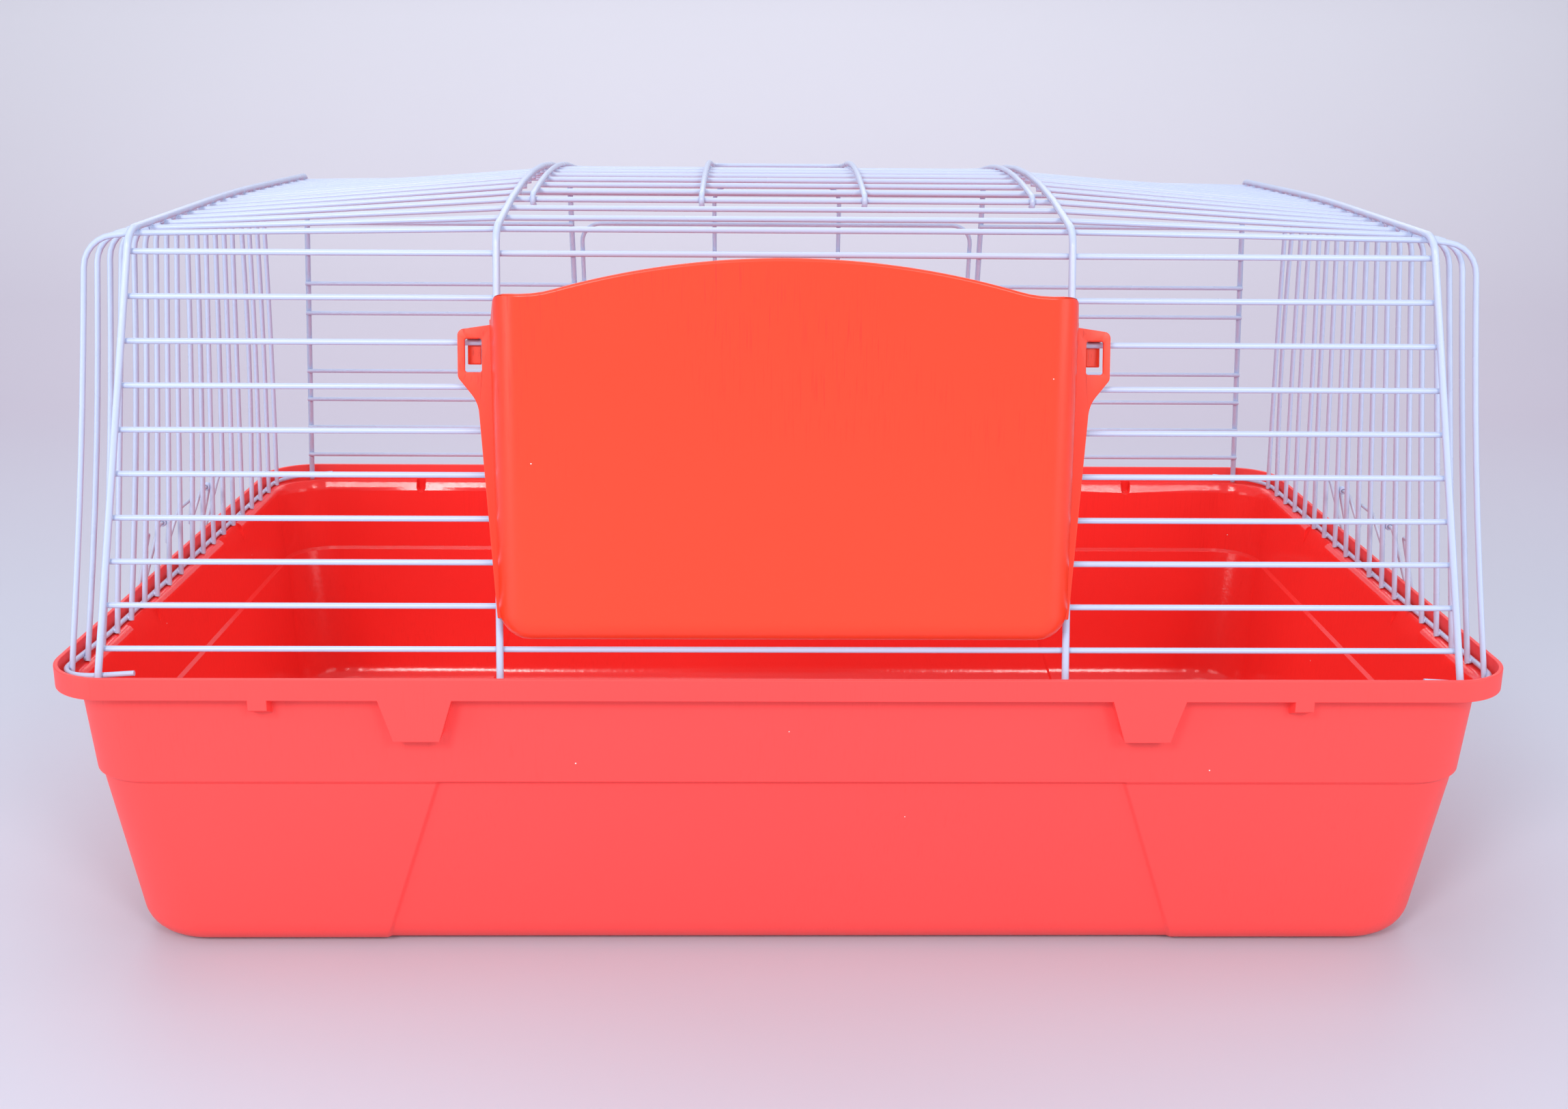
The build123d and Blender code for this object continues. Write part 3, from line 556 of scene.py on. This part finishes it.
def row_z(row):
    """Height of a row of wall bars."""
    return rim_z + bar_first + row * bar_pitch


near_bars, far_bars = [], []
for row in range(wall_rows):
    z = row_z(row)
    x, y, inner_x = end_x(z) + bar_tail, wall_y(z, lay), mid_x - bar_tail
    near_bars.append(([(-x, -y, z), (x, -y, z)], ()))
    if row <= hinge_row or row == wall_rows - 1:
        far_bars.append(([(-x, y, z), (x, y, z)], ()))
    else:
        far_bars += [([(side * inner_x, y, z), (side * x, y, z)], ()) for side in (-1, 1)]
    weld_y = wall_y(z, frame_wire / 2)
    for post_x in (end_x(z), mid_x):
        weld_points["cage"] += [(sx * post_x, sy * weld_y, z) for sx in (-1, 1) for sy in (-1, 1)]
near_nodes = [f"front_bar_{row + 1:02d}" for row in range(wall_rows)]
wires("near_wall_bars", near_bars, coated_bar, "cage", near_nodes)
far_nodes = ["back_bar_01", "back_bar_02", "back_bar_10", "back_side_bars_left", "back_side_bars_right"]
wires("far_wall_bars", far_bars, worn_bar, "cage", far_nodes)

# Roof bars, welded under the arches. They rise from the end frames to the arches and run level
# between them; beside the hatch they stop at the arches.
roof_count, hinge_bar, last_hatch_bar = 17, 3, 14
roof_pitch, roof_bend = 0.0226, 0.2


def ridged(y, ridge, slope, bend, depth=0.0):
    """Height at y of a line that lies depth under two slopes with a rounded ridge."""
    if abs(y) >= (bend - depth) * sin(slope):
        return ridge - abs(y) * tan(slope) - depth / cos(slope)
    return ridge - bend / cos(slope) + sqrt((bend - depth) ** 2 - y**2)


def roof_bar_y(bar):
    """Place of a roof bar, counted from the near side."""
    return (bar - roof_count // 2) * roof_pitch


def roof_bar_z(y):
    """Height of a roof bar under the arches."""
    return ridged(y, ridge_z, roof_slope, ridge_bend, lay)


def roof_bar_end(y):
    """Place and height of a roof bar's end under an end frame."""
    frame_z = ridged(y, end_ridge_z, end_slope, end_ridge_bend)
    return end_x(frame_z), ridged(y, end_ridge_z, end_slope, end_ridge_bend, lay)


roof_runs, roof_nodes = [], ["roof_hinge_bar", "roof_side_bars_left", "roof_side_bars_right"]
for bar in range(roof_count):
    y = roof_bar_y(bar)
    end, end_z = roof_bar_end(y)
    z, inner_x = roof_bar_z(y), mid_x - bar_tail
    if bar <= hinge_bar or bar > last_hatch_bar:
        run = [(-end, y, end_z), (-mid_x, y, z), (mid_x, y, z), (end, y, end_z)]
        roof_runs.append((run, (roof_bend, roof_bend)))
        if bar != hinge_bar:
            roof_nodes.append(f"roof_bar_{bar + 1:02d}")
    else:
        roof_runs += [([(side * inner_x, y, z), (side * end, y, end_z)], ()) for side in (-1, 1)]
    for side in (-1, 1):
        weld_points["cage"] += [(side * mid_x, y, z + bar_wire / 2), (side * end, y, end_z + bar_wire / 2)]
wires("roof_bars", roof_runs, worn_bar, "cage", roof_nodes, steps=3)

# End panels. A fan of uprights stands on the ledge and bends in under the end frame. Handling has bowed
# all of them a little but the two that carry the clip. A base wire is welded outside their feet, goes
# round both corners and ends free behind the corner posts.
end_wall_x = tray_half_x - tray_wall
upright_foot_x, upright_top_x = end_wall_x - 0.006, end_wall_x - 0.022
upright_low_z, upright_top_z, upright_tip = ledge_z + 0.0005, rim_z + 0.2245, 0.0003
last_upright, clip_upright, fan_half, fan_close, upright_bend = 9, 2, 0.218, 0.040, 0.018
bow_depth, bow_side = 0.002, 0.0025
base_z, base_bend, lift_y, lift_bend = ledge_z + 0.0018, 0.025, -0.15, 0.3
near_tip_x, far_tip_x, far_tip_z = 0.350, 0.352, rim_z - 0.0045
near_ends = {"left": (rim_z - 0.0012, rim_z - 0.0042), "right": (rim_z - 0.0046, rim_z - 0.0072)}


def upright_place(index, z):
    """Place of an upright at a height, with the index counted from the middle one."""
    climb = (z - ledge_z) / (upright_top_z - ledge_z)
    x = upright_foot_x + (upright_top_x - upright_foot_x) * climb
    return x, index / last_upright * (fan_half - fan_close * climb)


hand_bend = Random(5)
for side, hand in ((-1, "left"), (1, "right")):
    fan = []
    for index in range(-last_upright, last_upright + 1):
        bow_in, bow_along = hand_bend.uniform(0, bow_depth), hand_bend.uniform(-bow_side, bow_side)
        run = []
        for climb in round_steps(8, 0, 1):
            z = upright_low_z + (upright_top_z - upright_low_z) * climb
            x, y = upright_place(index, z)
            bow = 0.0 if abs(index) == clip_upright else sin(pi * climb)
            run.append((side * (x - bow_in * bow), y + bow_along * bow, z))
        top_y = run[-1][1]
        tip_x, tip_z = roof_bar_end(top_y)
        run.append((side * (tip_x + upright_tip), top_y, tip_z))
        fan.append((run, [0.0] * (len(run) - 3) + [upright_bend]))
        base_x, base_y = upright_place(index, base_z)
        weld_points["cage"].append((side * (base_x + bar_wire / 2), base_y, base_z))
        weld_points["cage"].append((side * tip_x, top_y, tip_z + bar_wire / 2))
    wires(f"uprights_{hand}", fan, coated_bar, "cage", [f"end_uprights_{hand}"], steps=6)
    x = side * (upright_foot_x + (bar_wire + base_wire) / 2)
    y = wall_y(base_z, (frame_wire + base_wire) / 2)
    near_tip_z, near_turn_z = near_ends[hand]
    run = [(side * near_tip_x, -y, near_tip_z), (x, -y, near_turn_z), (x, lift_y, base_z)]
    run += [(x, y, base_z), (side * far_tip_x, y, far_tip_z)]
    bends = (base_bend, lift_bend, base_bend)
    wires(f"base_wire_{hand}", [(run, bends)], base_wire, "cage", [f"end_base_wire_{hand}"], steps=10)

# Roof hatch. A U of wire with its two ends hooked round a roof bar, a narrower U over it that reaches
# past the next bar as a latch, and short bars welded under both.
gate_lay = (gate_wire + bar_wire) / 2
hinge_reach, hook_tail, gate_corner = gate_lay + hinge_gap, 0.002, 0.014
hatch_half, latch_half, hatch_bar_half = 0.1425, 0.0465, 0.145
hatch_far, latch_far, hatch_bend = 0.146, 0.170, 0.9


def hook(bar, along, outward):
    """Tail, inner and outer corner of a hook round a bar, for a gate that lies along a direction."""
    inner_line, outer_line = bar - outward * hinge_reach, bar + outward * hinge_reach
    back = along * hinge_reach
    return [inner_line + along * hook_tail, inner_line - back, outer_line - back]


def gate_loop(half, side_points, bends):
    """Corners and bends of a wire that runs through one side's points and back through the other's."""
    left = [(-half, point.y, point.z) for point in side_points]
    right = [(half, point.y, point.z) for point in reversed(side_points)]
    return left + right, (hinge_reach, hinge_reach, *bends, *bends[::-1], hinge_reach, hinge_reach)


hatch_y = roof_bar_y(hinge_bar)
hatch_hinge = Vector((0, hatch_y, roof_bar_z(hatch_y)))
hatch_slope = asin(min(abs(hatch_y) / ridge_bend, sin(roof_slope)))
hatch_along = Vector((0, cos(hatch_slope), sin(hatch_slope)))
hatch_out = Vector((0, -sin(hatch_slope), cos(hatch_slope)))
hatch_hook = hook(hatch_hinge, hatch_along, hatch_out)
hatch_ridge = Vector((0, 0, hatch_hook[2].z - hatch_hook[2].y * tan(hatch_slope)))
hatch_back = Vector((0, hatch_far, hatch_ridge.z - hatch_far * tan(hatch_slope)))
latch_fall = (hatch_back.z + gate_wire - hatch_ridge.z) * latch_far / hatch_far
latch_back = Vector((0, latch_far, hatch_ridge.z + latch_fall))
gate_bends = (hatch_bend, gate_corner)
hatch_u = gate_loop(hatch_half, hatch_hook + [hatch_ridge, hatch_back], gate_bends)
wires("hatch_u_wire", [hatch_u], gate_wire, "roof_hatch", ["hatch_frame"])
hatch_loop = gate_loop(latch_half, hatch_hook + [hatch_ridge, latch_back], gate_bends)
wires("hatch_latch", [hatch_loop], gate_wire, "roof_hatch", ["hatch_latch_loop"])
cross_runs = []
for bar in range(hinge_bar + 1, last_hatch_bar + 1):
    y = roof_bar_y(bar)
    z = ridged(y, hatch_ridge.z, hatch_slope, hatch_bend, gate_lay)
    cross_runs.append(([(-hatch_bar_half, y, z), (hatch_bar_half, y, z)], ()))
    crossed = (-hatch_half, -latch_half, latch_half, hatch_half)
    weld_points["roof_hatch"] += [(x, y, z + bar_wire / 2) for x in crossed]
wires("hatch_cross_bars", cross_runs, coated_bar, "roof_hatch", ["hatch_bars"])

# Door in the far wall, made like the hatch. It hangs on the second bar and drops outwards. Its latch
# loop tilts out a little and reaches past the top bar.
door_half, door_bar_half, last_door_row = 0.1455, 0.148, 7
door_top_z, latch_top_z, door_bar_rise = rim_z + 0.196, rim_z + 0.226, 0.0015
door_hinge = Vector((0, wall_y(row_z(hinge_row), lay), row_z(hinge_row)))
door_along, door_out = Vector((0, -sin(lean), cos(lean))), Vector((0, cos(lean), sin(lean)))
door_run = (door_top_z - door_hinge.z) / cos(lean)
door_top = door_hinge + door_out * hinge_reach + door_along * door_run
door_u = gate_loop(door_half, hook(door_hinge, door_along, door_out) + [door_top], (gate_corner,))
wires("door_u_wire", [door_u], gate_wire, "back_door", ["door_frame"])
tilt = lean - atan(gate_wire / door_run)
latch_along, latch_out = Vector((0, -sin(tilt), cos(tilt))), Vector((0, cos(tilt), sin(tilt)))
latch_run = (latch_top_z - door_hinge.z) / cos(tilt)
latch_top = door_hinge + latch_out * hinge_reach + latch_along * latch_run
door_loop = gate_loop(latch_half, hook(door_hinge, latch_along, latch_out) + [latch_top], (gate_corner,))
wires("door_latch", [door_loop], gate_wire, "back_door", ["door_latch_loop"])
door_runs = []
for row in range(hinge_row + 1, last_door_row + 1):
    rise = (row - hinge_row) * bar_pitch / cos(lean) + door_bar_rise
    place = door_hinge + door_out * (hinge_reach - gate_lay) + door_along * rise
    door_runs.append(([(-door_bar_half, place.y, place.z), (door_bar_half, place.y, place.z)], ()))
    weld = place + door_out * bar_wire / 2
    crossed = (-door_half, -latch_half, latch_half, door_half)
    weld_points["back_door"] += [(x, weld.y, weld.z) for x in crossed]
wires("door_cross_bars", door_runs, coated_bar, "back_door", ["door_bars"])

# Weld spots. Where two wires cross, a flat little nugget joins them and the coating runs over it.
weld_radius, first_seed = 0.0017, 3


def weld_tree():
    """A small rounded nugget on every point, slightly different in size."""
    kinds = {"Points": "Geometry", "Radius": "Float", "Seed": "Int", "Coating": "Material"}
    inputs = [(name, kind, None) for name, kind in kinds.items()]
    tree, given, result = node_tree("weld spots", "GeometryNodeTree", inputs, [("Welds", "Geometry")])
    add, wire = tree.nodes.new, tree.links.new
    ball, spots = add("GeometryNodeMeshUVSphere"), add("GeometryNodeInstanceOnPoints")
    ball.inputs["Segments"].default_value, ball.inputs["Rings"].default_value = 8, 5
    wire(given["Radius"], ball.inputs["Radius"])
    size = add("FunctionNodeRandomValue")
    size.data_type = "FLOAT"
    size.inputs[2].default_value, size.inputs[3].default_value = 0.85, 1.1
    wire(given["Seed"], size.inputs["Seed"])
    wire(ball.outputs["Mesh"], spots.inputs["Instance"])
    wire(size.outputs[1], spots.inputs["Scale"])
    real, smooth = add("GeometryNodeRealizeInstances"), add("GeometryNodeSetShadeSmooth")
    coat = add("GeometryNodeSetMaterial")
    wire(given["Coating"], coat.inputs["Material"])
    steps = (spots, real, smooth, coat)
    for before, after in zip(steps, steps[1:]):
        wire(before.outputs[0], after.inputs[0])
    wire(given["Points"], spots.inputs["Points"])
    wire(coat.outputs["Geometry"], result["Welds"])
    return tree


weld_spots = weld_tree()
for number, (body, points) in enumerate(weld_points.items()):
    mesh = bpy.data.meshes.new(f"{body}_welds")
    mesh.from_pydata(points, [], [])
    piece = new_object(f"{body}_welds", mesh)
    grown(piece, weld_spots, {"Radius": weld_radius, "Seed": number + first_seed, "Coating": coating})
    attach(piece, body)

# Rim clips. A zigzag of spring wire turns in two curls of wire on each end panel. Its outer points
# snap over the band and hook under it, and its inner points are finger grips.
clip_coating = finish_material(
    "clip wire, thin powder coat", (0.50, 0.54, 0.68), 0.38, tone_spread=0.07, **coat_finish
)
curl_wire, curl_length, curl_turn = 0.0012, 0.0044, 5 * pi
clip_z, grip_fall = rim_z + 0.0315, 0.0235
eye_x, eye_y = upright_place(clip_upright, clip_z)
eye_radius = clip_wire / 2 + hinge_gap + curl_wire
upright_tilt = atan((upright_foot_x - upright_top_x) / (upright_top_z - ledge_z))
clip_x = eye_x + bar_wire / 2 / cos(upright_tilt) + eye_radius
hook_y, grip_y = eye_y + 0.0171, eye_y - 0.0229
end_half, hook_half, point_half, grip_half = 0.016, 0.010, 0.004, 0.009
band_x, knee_z = tray_half_x + clip_wire / 2, band_z - 0.0013 - clip_wire / 2
knee_x, point_x = band_x + 0.0053, band_x - 0.0036
grip_x = clip_x + (knee_x - clip_x) * grip_fall / (clip_z - knee_z)
half_run = [(clip_x, hook_y + end_half, clip_z), (clip_x, hook_y + hook_half, clip_z)]
half_run += [(knee_x, hook_y + point_half, knee_z), (point_x, hook_y, knee_z)]
half_run += [(knee_x, hook_y - point_half, knee_z), (clip_x, hook_y - hook_half, clip_z)]
half_run.append((clip_x, grip_y + grip_half, clip_z))
half_run += [(grip_x, grip_y, clip_z - grip_fall), (clip_x, grip_y - grip_half, clip_z)]
clip_bend, point_bend = 0.0022, 0.0015
half_bends = [clip_bend] * 2 + [point_bend] + [clip_bend] * 5
for side, hand in ((-1, "left"), (1, "right")):
    run = [(side * x, y, z) for x, y, z in half_run]
    run += [(side * x, -y, z) for x, y, z in reversed(half_run)]
    clip, nodes = [(run, half_bends + half_bends[::-1])], [f"rim_clip_{hand}"]
    wires(f"clip_{hand}", clip, clip_wire, f"clip_{hand}", nodes, 4, clip_coating)
    curls, reach = [], eye_radius - curl_wire / 2
    for middle in (-eye_y, eye_y):
        curl = []
        for swing in round_steps(36, 0, curl_turn):
            y = middle + (swing / curl_turn - 0.5) * curl_length
            curl.append((side * (clip_x + reach * cos(swing)), y, clip_z + reach * sin(swing)))
        curls.append((curl, [0.0] * (len(curl) - 2)))
    wires(f"clip_curls_{hand}", curls, curl_wire, "cage", [f"clip_eyes_{hand}"])

# Hay feeder. One thin moulding in a slightly more orange red: a flat front with rounded edges and an
# arched top, flared side walls, and a flange with an ear on each side. The ears hook over a wall bar.
feeder_skin = finish_material(
    "feeder, satin orange red",
    (0.96, 0.051, 0.0142),
    0.32,
    {"Scuff Amount": 0.8, "Scuff Low": 0.27, "Scuff High": 0.34},
    tone_spread=0.08,
    patch_scale=5.0,
    grain_depth=0.08,
)
feeder_wall, flare = 0.0022, tan(radians(11))
feeder_top_half, feeder_taper, foot_depth = 0.1465, 0.015, 0.0175
edge_round, low_round, rolled_edge, soft_feeder = 0.013, 0.016, 0.0016, 0.0004
feeder_low, side_top_z = rim_z + 0.021, rim_z + 0.186
shoulder_z, arch_rise, arch_half, sweep_round = rim_z + 0.2065, 0.0185, 0.1335, 0.060
back_gap = frame_wire / 2 + hinge_gap
feeder_front = wall_y(feeder_low, -back_gap) + foot_depth


def feeder_half(z):
    """Half width of the front at a height, a little more at the foot."""
    return feeder_top_half + feeder_taper * (shoulder_z - z)


def back_depth(z):
    """How far behind the front the wire wall lies at a height."""
    return feeder_front - wall_y(z, -back_gap)


def feeder_line(inset, depth, shrink, share):
    """One line across the feeder's wall: down one side, along the underside and up the other side.
    With a share it lies between the rounded front edge and the wire wall."""
    corner, low = low_round - inset - shrink, feeder_low + inset + shrink
    full = back_depth(side_top_z)
    gone = (depth + (full - depth) * share) / full
    top = shoulder_z + (side_top_z - shoulder_z) * gone**2 * (3 - 2 * gone)
    line = [(0.0, low + corner + (top - low - corner) * climb) for climb in round_steps(10, 1, 0)]
    for swing in round_steps(6, 0, pi / 2)[1:]:
        line.append((corner * (1 - cos(swing)), low + corner * (1 - sin(swing))))
    points = []
    for narrower, z in line:
        place = depth + (back_depth(z) - depth) * share
        points.append((feeder_half(z) + place * flare - inset - shrink - narrower, place - feeder_front, z))
    return points + [(-x, y, z) for x, y, z in reversed(points)]


def crest_rise(x):
    """Height of the arched top edge over its shoulders, with a hollow sweep at each foot."""
    both = (arch_half**2 + arch_rise**2) / (2 * arch_rise)
    radius = both - sweep_round
    if abs(x) <= arch_half * radius / both:
        return arch_rise - radius + sqrt(radius**2 - x**2)
    return sweep_round - sqrt(sweep_round**2 - (arch_half - abs(x)) ** 2)


def feeder_skin_points(inset):
    """Lines from the front edge to the wire wall, and the arched top edge of the front."""
    bend = edge_round - inset
    lines = []
    for swing in round_steps(6, 0, pi / 2):
        lines.append(feeder_line(inset, inset + bend * (1 - cos(swing)), bend * (1 - sin(swing)), 0.0))
    lines += [feeder_line(inset, edge_round, 0.0, share) for share in round_steps(8, 0, 1)[1:]]
    across = round_steps(48, -arch_half, arch_half)[1:-1]
    return lines, [(x, inset - feeder_front, shoulder_z + crest_rise(x)) for x in across]


feeder = bmesh.new()
loops, backs = [], []
for inset in (0.0, feeder_wall):
    lines, crest_points = feeder_skin_points(inset)
    grid = [[feeder.verts.new(point) for point in line] for line in lines]
    crest = [feeder.verts.new(point) for point in crest_points]
    feeder.faces.new(grid[0] + crest)
    backs.append(grid[-1])
    for near, far in zip(grid, grid[1:]):
        for place in range(len(near) - 1):
            feeder.faces.new((near[place], near[place + 1], far[place + 1], far[place]))
    loops.append(crest + [line[0] for line in grid[:-1]] + grid[-1] + [line[-1] for line in grid[-2::-1]])
rolled = []
front_edge = set(loops[0]) - set(backs[0])
for place in range(len(loops[0])):
    before, after = loops[0][place - 1], loops[0][place]
    feeder.faces.new((before, after, loops[1][place], loops[1][place - 1]))
    if before in front_edge and after in front_edge:
        rolled.append(feeder.edges.get((before, after)))
bmesh.ops.recalc_face_normals(feeder, faces=feeder.faces)
soften(feeder, rolled, rolled_edge)


def on_wall(x, up, out):
    """Point on the near wire wall, a distance up it and out of the plane of its posts."""
    return (x, up * sin(lean) - out * cos(lean) - post_y, rim_z + up * cos(lean) + out * sin(lean))


def up_wall(rise):
    """Distance up the wall of a height above the rim, on the feeder's back."""
    return rise / cos(lean) - back_gap * tan(lean)


def rounded(corners, radii):
    """Closed outline with an arc at each corner that has a radius."""
    outline = []
    for place, radius in enumerate(radii):
        corner = Vector(corners[place])
        back = (Vector(corners[place - 1]) - corner).normalized()
        ahead = (Vector(corners[(place + 1) % len(corners)]) - corner).normalized()
        if radius == 0:
            outline.append(corner)
            continue
        half = back.angle(ahead) / 2
        middle = corner + (back + ahead).normalized() * radius / sin(half)
        turn = pi / 2 - half
        inward, onward = (back + ahead).normalized(), (ahead - back).normalized()
        for swing in round_steps(6, -turn, turn):
            outline.append(middle - inward * radius * cos(swing) + onward * radius * sin(swing))
    return outline


def plate(bm, outlines, place, thickness):
    """Plate of even thickness from an outline and the outlines of its holes."""
    edges = []
    for outline in outlines:
        ring = [bm.verts.new(place(*point)) for point in outline]
        edges += [bm.edges.new((ring[number - 1], ring[number])) for number in range(len(ring))]
    faces = bmesh.ops.triangle_fill(bm, edges=edges, use_beauty=True)["geom"]
    faces = [item for item in faces if isinstance(item, bmesh.types.BMFace)]
    grown_part = bmesh.ops.extrude_face_region(bm, geom=faces, use_keep_orig=True)["geom"]
    moved = [item for item in grown_part if isinstance(item, bmesh.types.BMVert)]
    bmesh.ops.translate(bm, verts=moved, vec=thickness)


def flange_x(rise):
    """Half width of the feeder where its side walls meet the wire wall."""
    return feeder_half(rim_z + rise) + back_depth(rim_z + rise) * flare


feeder_row = 7
bar_up = (row_z(feeder_row) - rim_z) / cos(lean) + lay * tan(lean)
arm_low = bar_up + bar_wire / 2 + hinge_gap
arm_top, ear_top, ear_rise = arm_low + 0.0026, arm_low + 0.0048, 0.0028
ear_half, ear_bite, low_out, wide_out = 0.1733, 0.0018, 0.0005, 0.007
low_rise, wide_rise, side_rise, root_rise = 0.030, 0.143, 0.156, 0.182
ear_rounds, window_rounds = (0, 0, 0.018, 0.004, 0.0035, 0), (0.0014,) * 4
window_x, window_half, window_low, window_top = 0.1650, 0.0045, arm_low - 0.0176, arm_low + 0.0003
wall_out = Vector((0, -cos(lean), sin(lean)))
low_x, low_up = flange_x(low_rise), up_wall(low_rise)
ear = [(low_x - ear_bite, low_up), (low_x + low_out, low_up)]
ear += [(flange_x(wide_rise) + wide_out, up_wall(wide_rise)), (ear_half, up_wall(side_rise))]
ear += [(ear_half, ear_top), (flange_x(root_rise) - ear_bite, ear_top + ear_rise)]
window = [(window_x - window_half, window_low), (window_x + window_half, window_low)]
window += [(window_x + window_half, window_top), (window_x - window_half, window_top)]
hook_in, hook_width, hook_end = 0.0028, 0.0072, bar_up - 0.0117
hook_rounds = (0.002, 0.0008, 0.0008, 0.0004, 0, 0)
tongue_in, hook_root = lay + bar_wire / 2 + hinge_gap, back_gap + feeder_wall - 0.0006
hook_line = [(-tongue_in - feeder_wall, arm_top), (-tongue_in - feeder_wall, hook_end)]
hook_line += [(-tongue_in, hook_end), (-tongue_in, arm_low), (hook_root, arm_low), (hook_root, arm_top)]
for side in (-1, 1):
    outlines = [rounded(ear, ear_rounds), rounded(window, window_rounds)]
    plate(feeder, outlines, lambda x, up: on_wall(side * x, up, back_gap), wall_out * feeder_wall)
    hook_x, bent = side * (window_x - hook_in), rounded(hook_line, hook_rounds)
    prism(feeder, [on_wall(hook_x, up, out) for out, up in bent], Vector((side * hook_width, 0, 0)))
feeder_piece = made_object("feeder_moulding", feeder)
feeder_piece.data.materials.append(feeder_skin)
placed(feeder_piece, "feeder", "feeder_plastic", "hay_feeder", bevel=soft_feeder)

# Floor and light: one sheet of pale lilac grey paper that sweeps up behind the cage, under a pale sky and
# large soft lamps.
# Its tone is set by distance as in the photo: darker on the floor, pinker just behind the cage as a painted
# shadow with painted red light from the tray, and paler up the sweep as painted light.
sheet_half, sheet_near, sheet_flat, sheet_bend, sheet_top, sheet_gap = 5.0, -4.0, 1.2, 1.4, 4.0, 0.0002
sweep = [(sheet_near, 0.0), (sheet_flat, 0.0)]
for swing in round_steps(24, 0, pi / 2)[1:]:
    sweep.append((sheet_flat + sheet_bend * sin(swing), sheet_bend - sheet_bend * cos(swing)))
sweep.append((sheet_flat + sheet_bend, sheet_top))
floor_points = [(x, y, z - sheet_gap) for y, z in sweep for x in (-sheet_half, sheet_half)]
floor_faces = [(2 * row, 2 * row + 1, 2 * row + 3, 2 * row + 2) for row in range(len(sweep) - 1)]
floor_mesh = bpy.data.meshes.new("floor")
floor_mesh.from_pydata(floor_points, [], floor_faces)
floor_mesh.shade_smooth()
floor = new_object("floor", floor_mesh)
paper = finish_material("studio floor", (0.58, 0.60, 0.70), 0.6, tone_spread=0.03, patch_scale=2.0)
nodes, links = paper.node_tree.nodes, paper.node_tree.links
paper_place, paper_depth = nodes.new("ShaderNodeTexCoord"), nodes.new("ShaderNodeSeparateXYZ")
# Ramp of painted light and shade along the sheet: darker floor, painted shadow and red light behind the
# cage, paler sweep.
paper_painted_light = nodes.new("ShaderNodeValToRGB")
painted_light_tones = paper_painted_light.color_ramp.elements
painted_light_tones[0].color, painted_light_tones[1].color = (0.55, 0.58, 0.68, 1), (0.755, 0.76, 0.835, 1)
painted_light_tones.new(0.5).color = (0.60, 0.56, 0.66, 1)
painted_light_tones.new(0.7).color = (0.62, 0.59, 0.685, 1)
links.new(paper_place.outputs["Object"], paper_depth.inputs[0])
links.new(stretched(paper.node_tree, paper_depth.outputs["Y"], 0.3, 2.3), paper_painted_light.inputs["Fac"])
paper_skin = next(node for node in nodes if node.type == "GROUP")
links.new(paper_painted_light.outputs["Color"], paper_skin.inputs["Color"])
floor_mesh.materials.append(paper)
world = bpy.data.worlds.new("studio")
world.use_nodes = True
sky = world.node_tree.nodes["Background"].inputs
sky["Color"].default_value, sky["Strength"].default_value = (0.82, 0.81, 0.88, 1), 0.64
bpy.context.scene.world = world
lit_point = Vector((0, 0, 0.2))
for name, place, wide, high, power in (
    ("key lamp", (-0.75, -1.9, 1.3), 0.5, 0.5, 20),
    ("fill lamp", (0.75, -1.9, 1.2), 0.5, 0.5, 13),
    ("top lamp", (-0.2, 0.3, 2.2), 1.8, 1.8, 15),
    ("back lamp", (0.0, 2.0, 1.6), 3.4, 1.0, 14),
    ("left lamp", (-1.5, -0.9, 0.45), 0.8, 0.8, 5),
    ("right lamp", (1.5, -0.9, 0.45), 0.8, 0.8, 4),
):
    lamp = bpy.data.lights.new(name, "AREA")
    lamp.energy, lamp.shape, lamp.size, lamp.size_y = power, "RECTANGLE", wide, high
    holder = new_object(name, lamp)
    holder.location, holder.visible_camera = place, False
    holder.rotation_euler = (lit_point - Vector(place)).to_track_quat("-Z", "Y").to_euler()

# Camera where the photograph was taken: a little above the roof, looking down at the near wall.
camera_place = (-0.0158, -1.1444, rim_z + 0.3295)
pitch, yaw, roll = radians(16.17), radians(-0.99), radians(0.44)
sensor, focal_pixels, photo_width = 36, 2600, 2296
ahead = Vector((-sin(yaw) * cos(pitch), cos(yaw) * cos(pitch), -sin(pitch)))
level = Vector((cos(yaw), sin(yaw), 0))
above = level.cross(ahead)
right, up = level * cos(roll) + above * sin(roll), above * cos(roll) - level * sin(roll)
camera = new_object("camera", bpy.data.cameras.new("camera"))
camera.data.sensor_width, camera.data.lens = sensor, focal_pixels / photo_width * sensor
turn = Matrix((right, up, -ahead)).transposed().to_4x4()
camera.matrix_world = Matrix.Translation(camera_place) @ turn
bpy.context.scene.camera = camera
bpy.context.scene.view_settings.view_transform = "Standard"
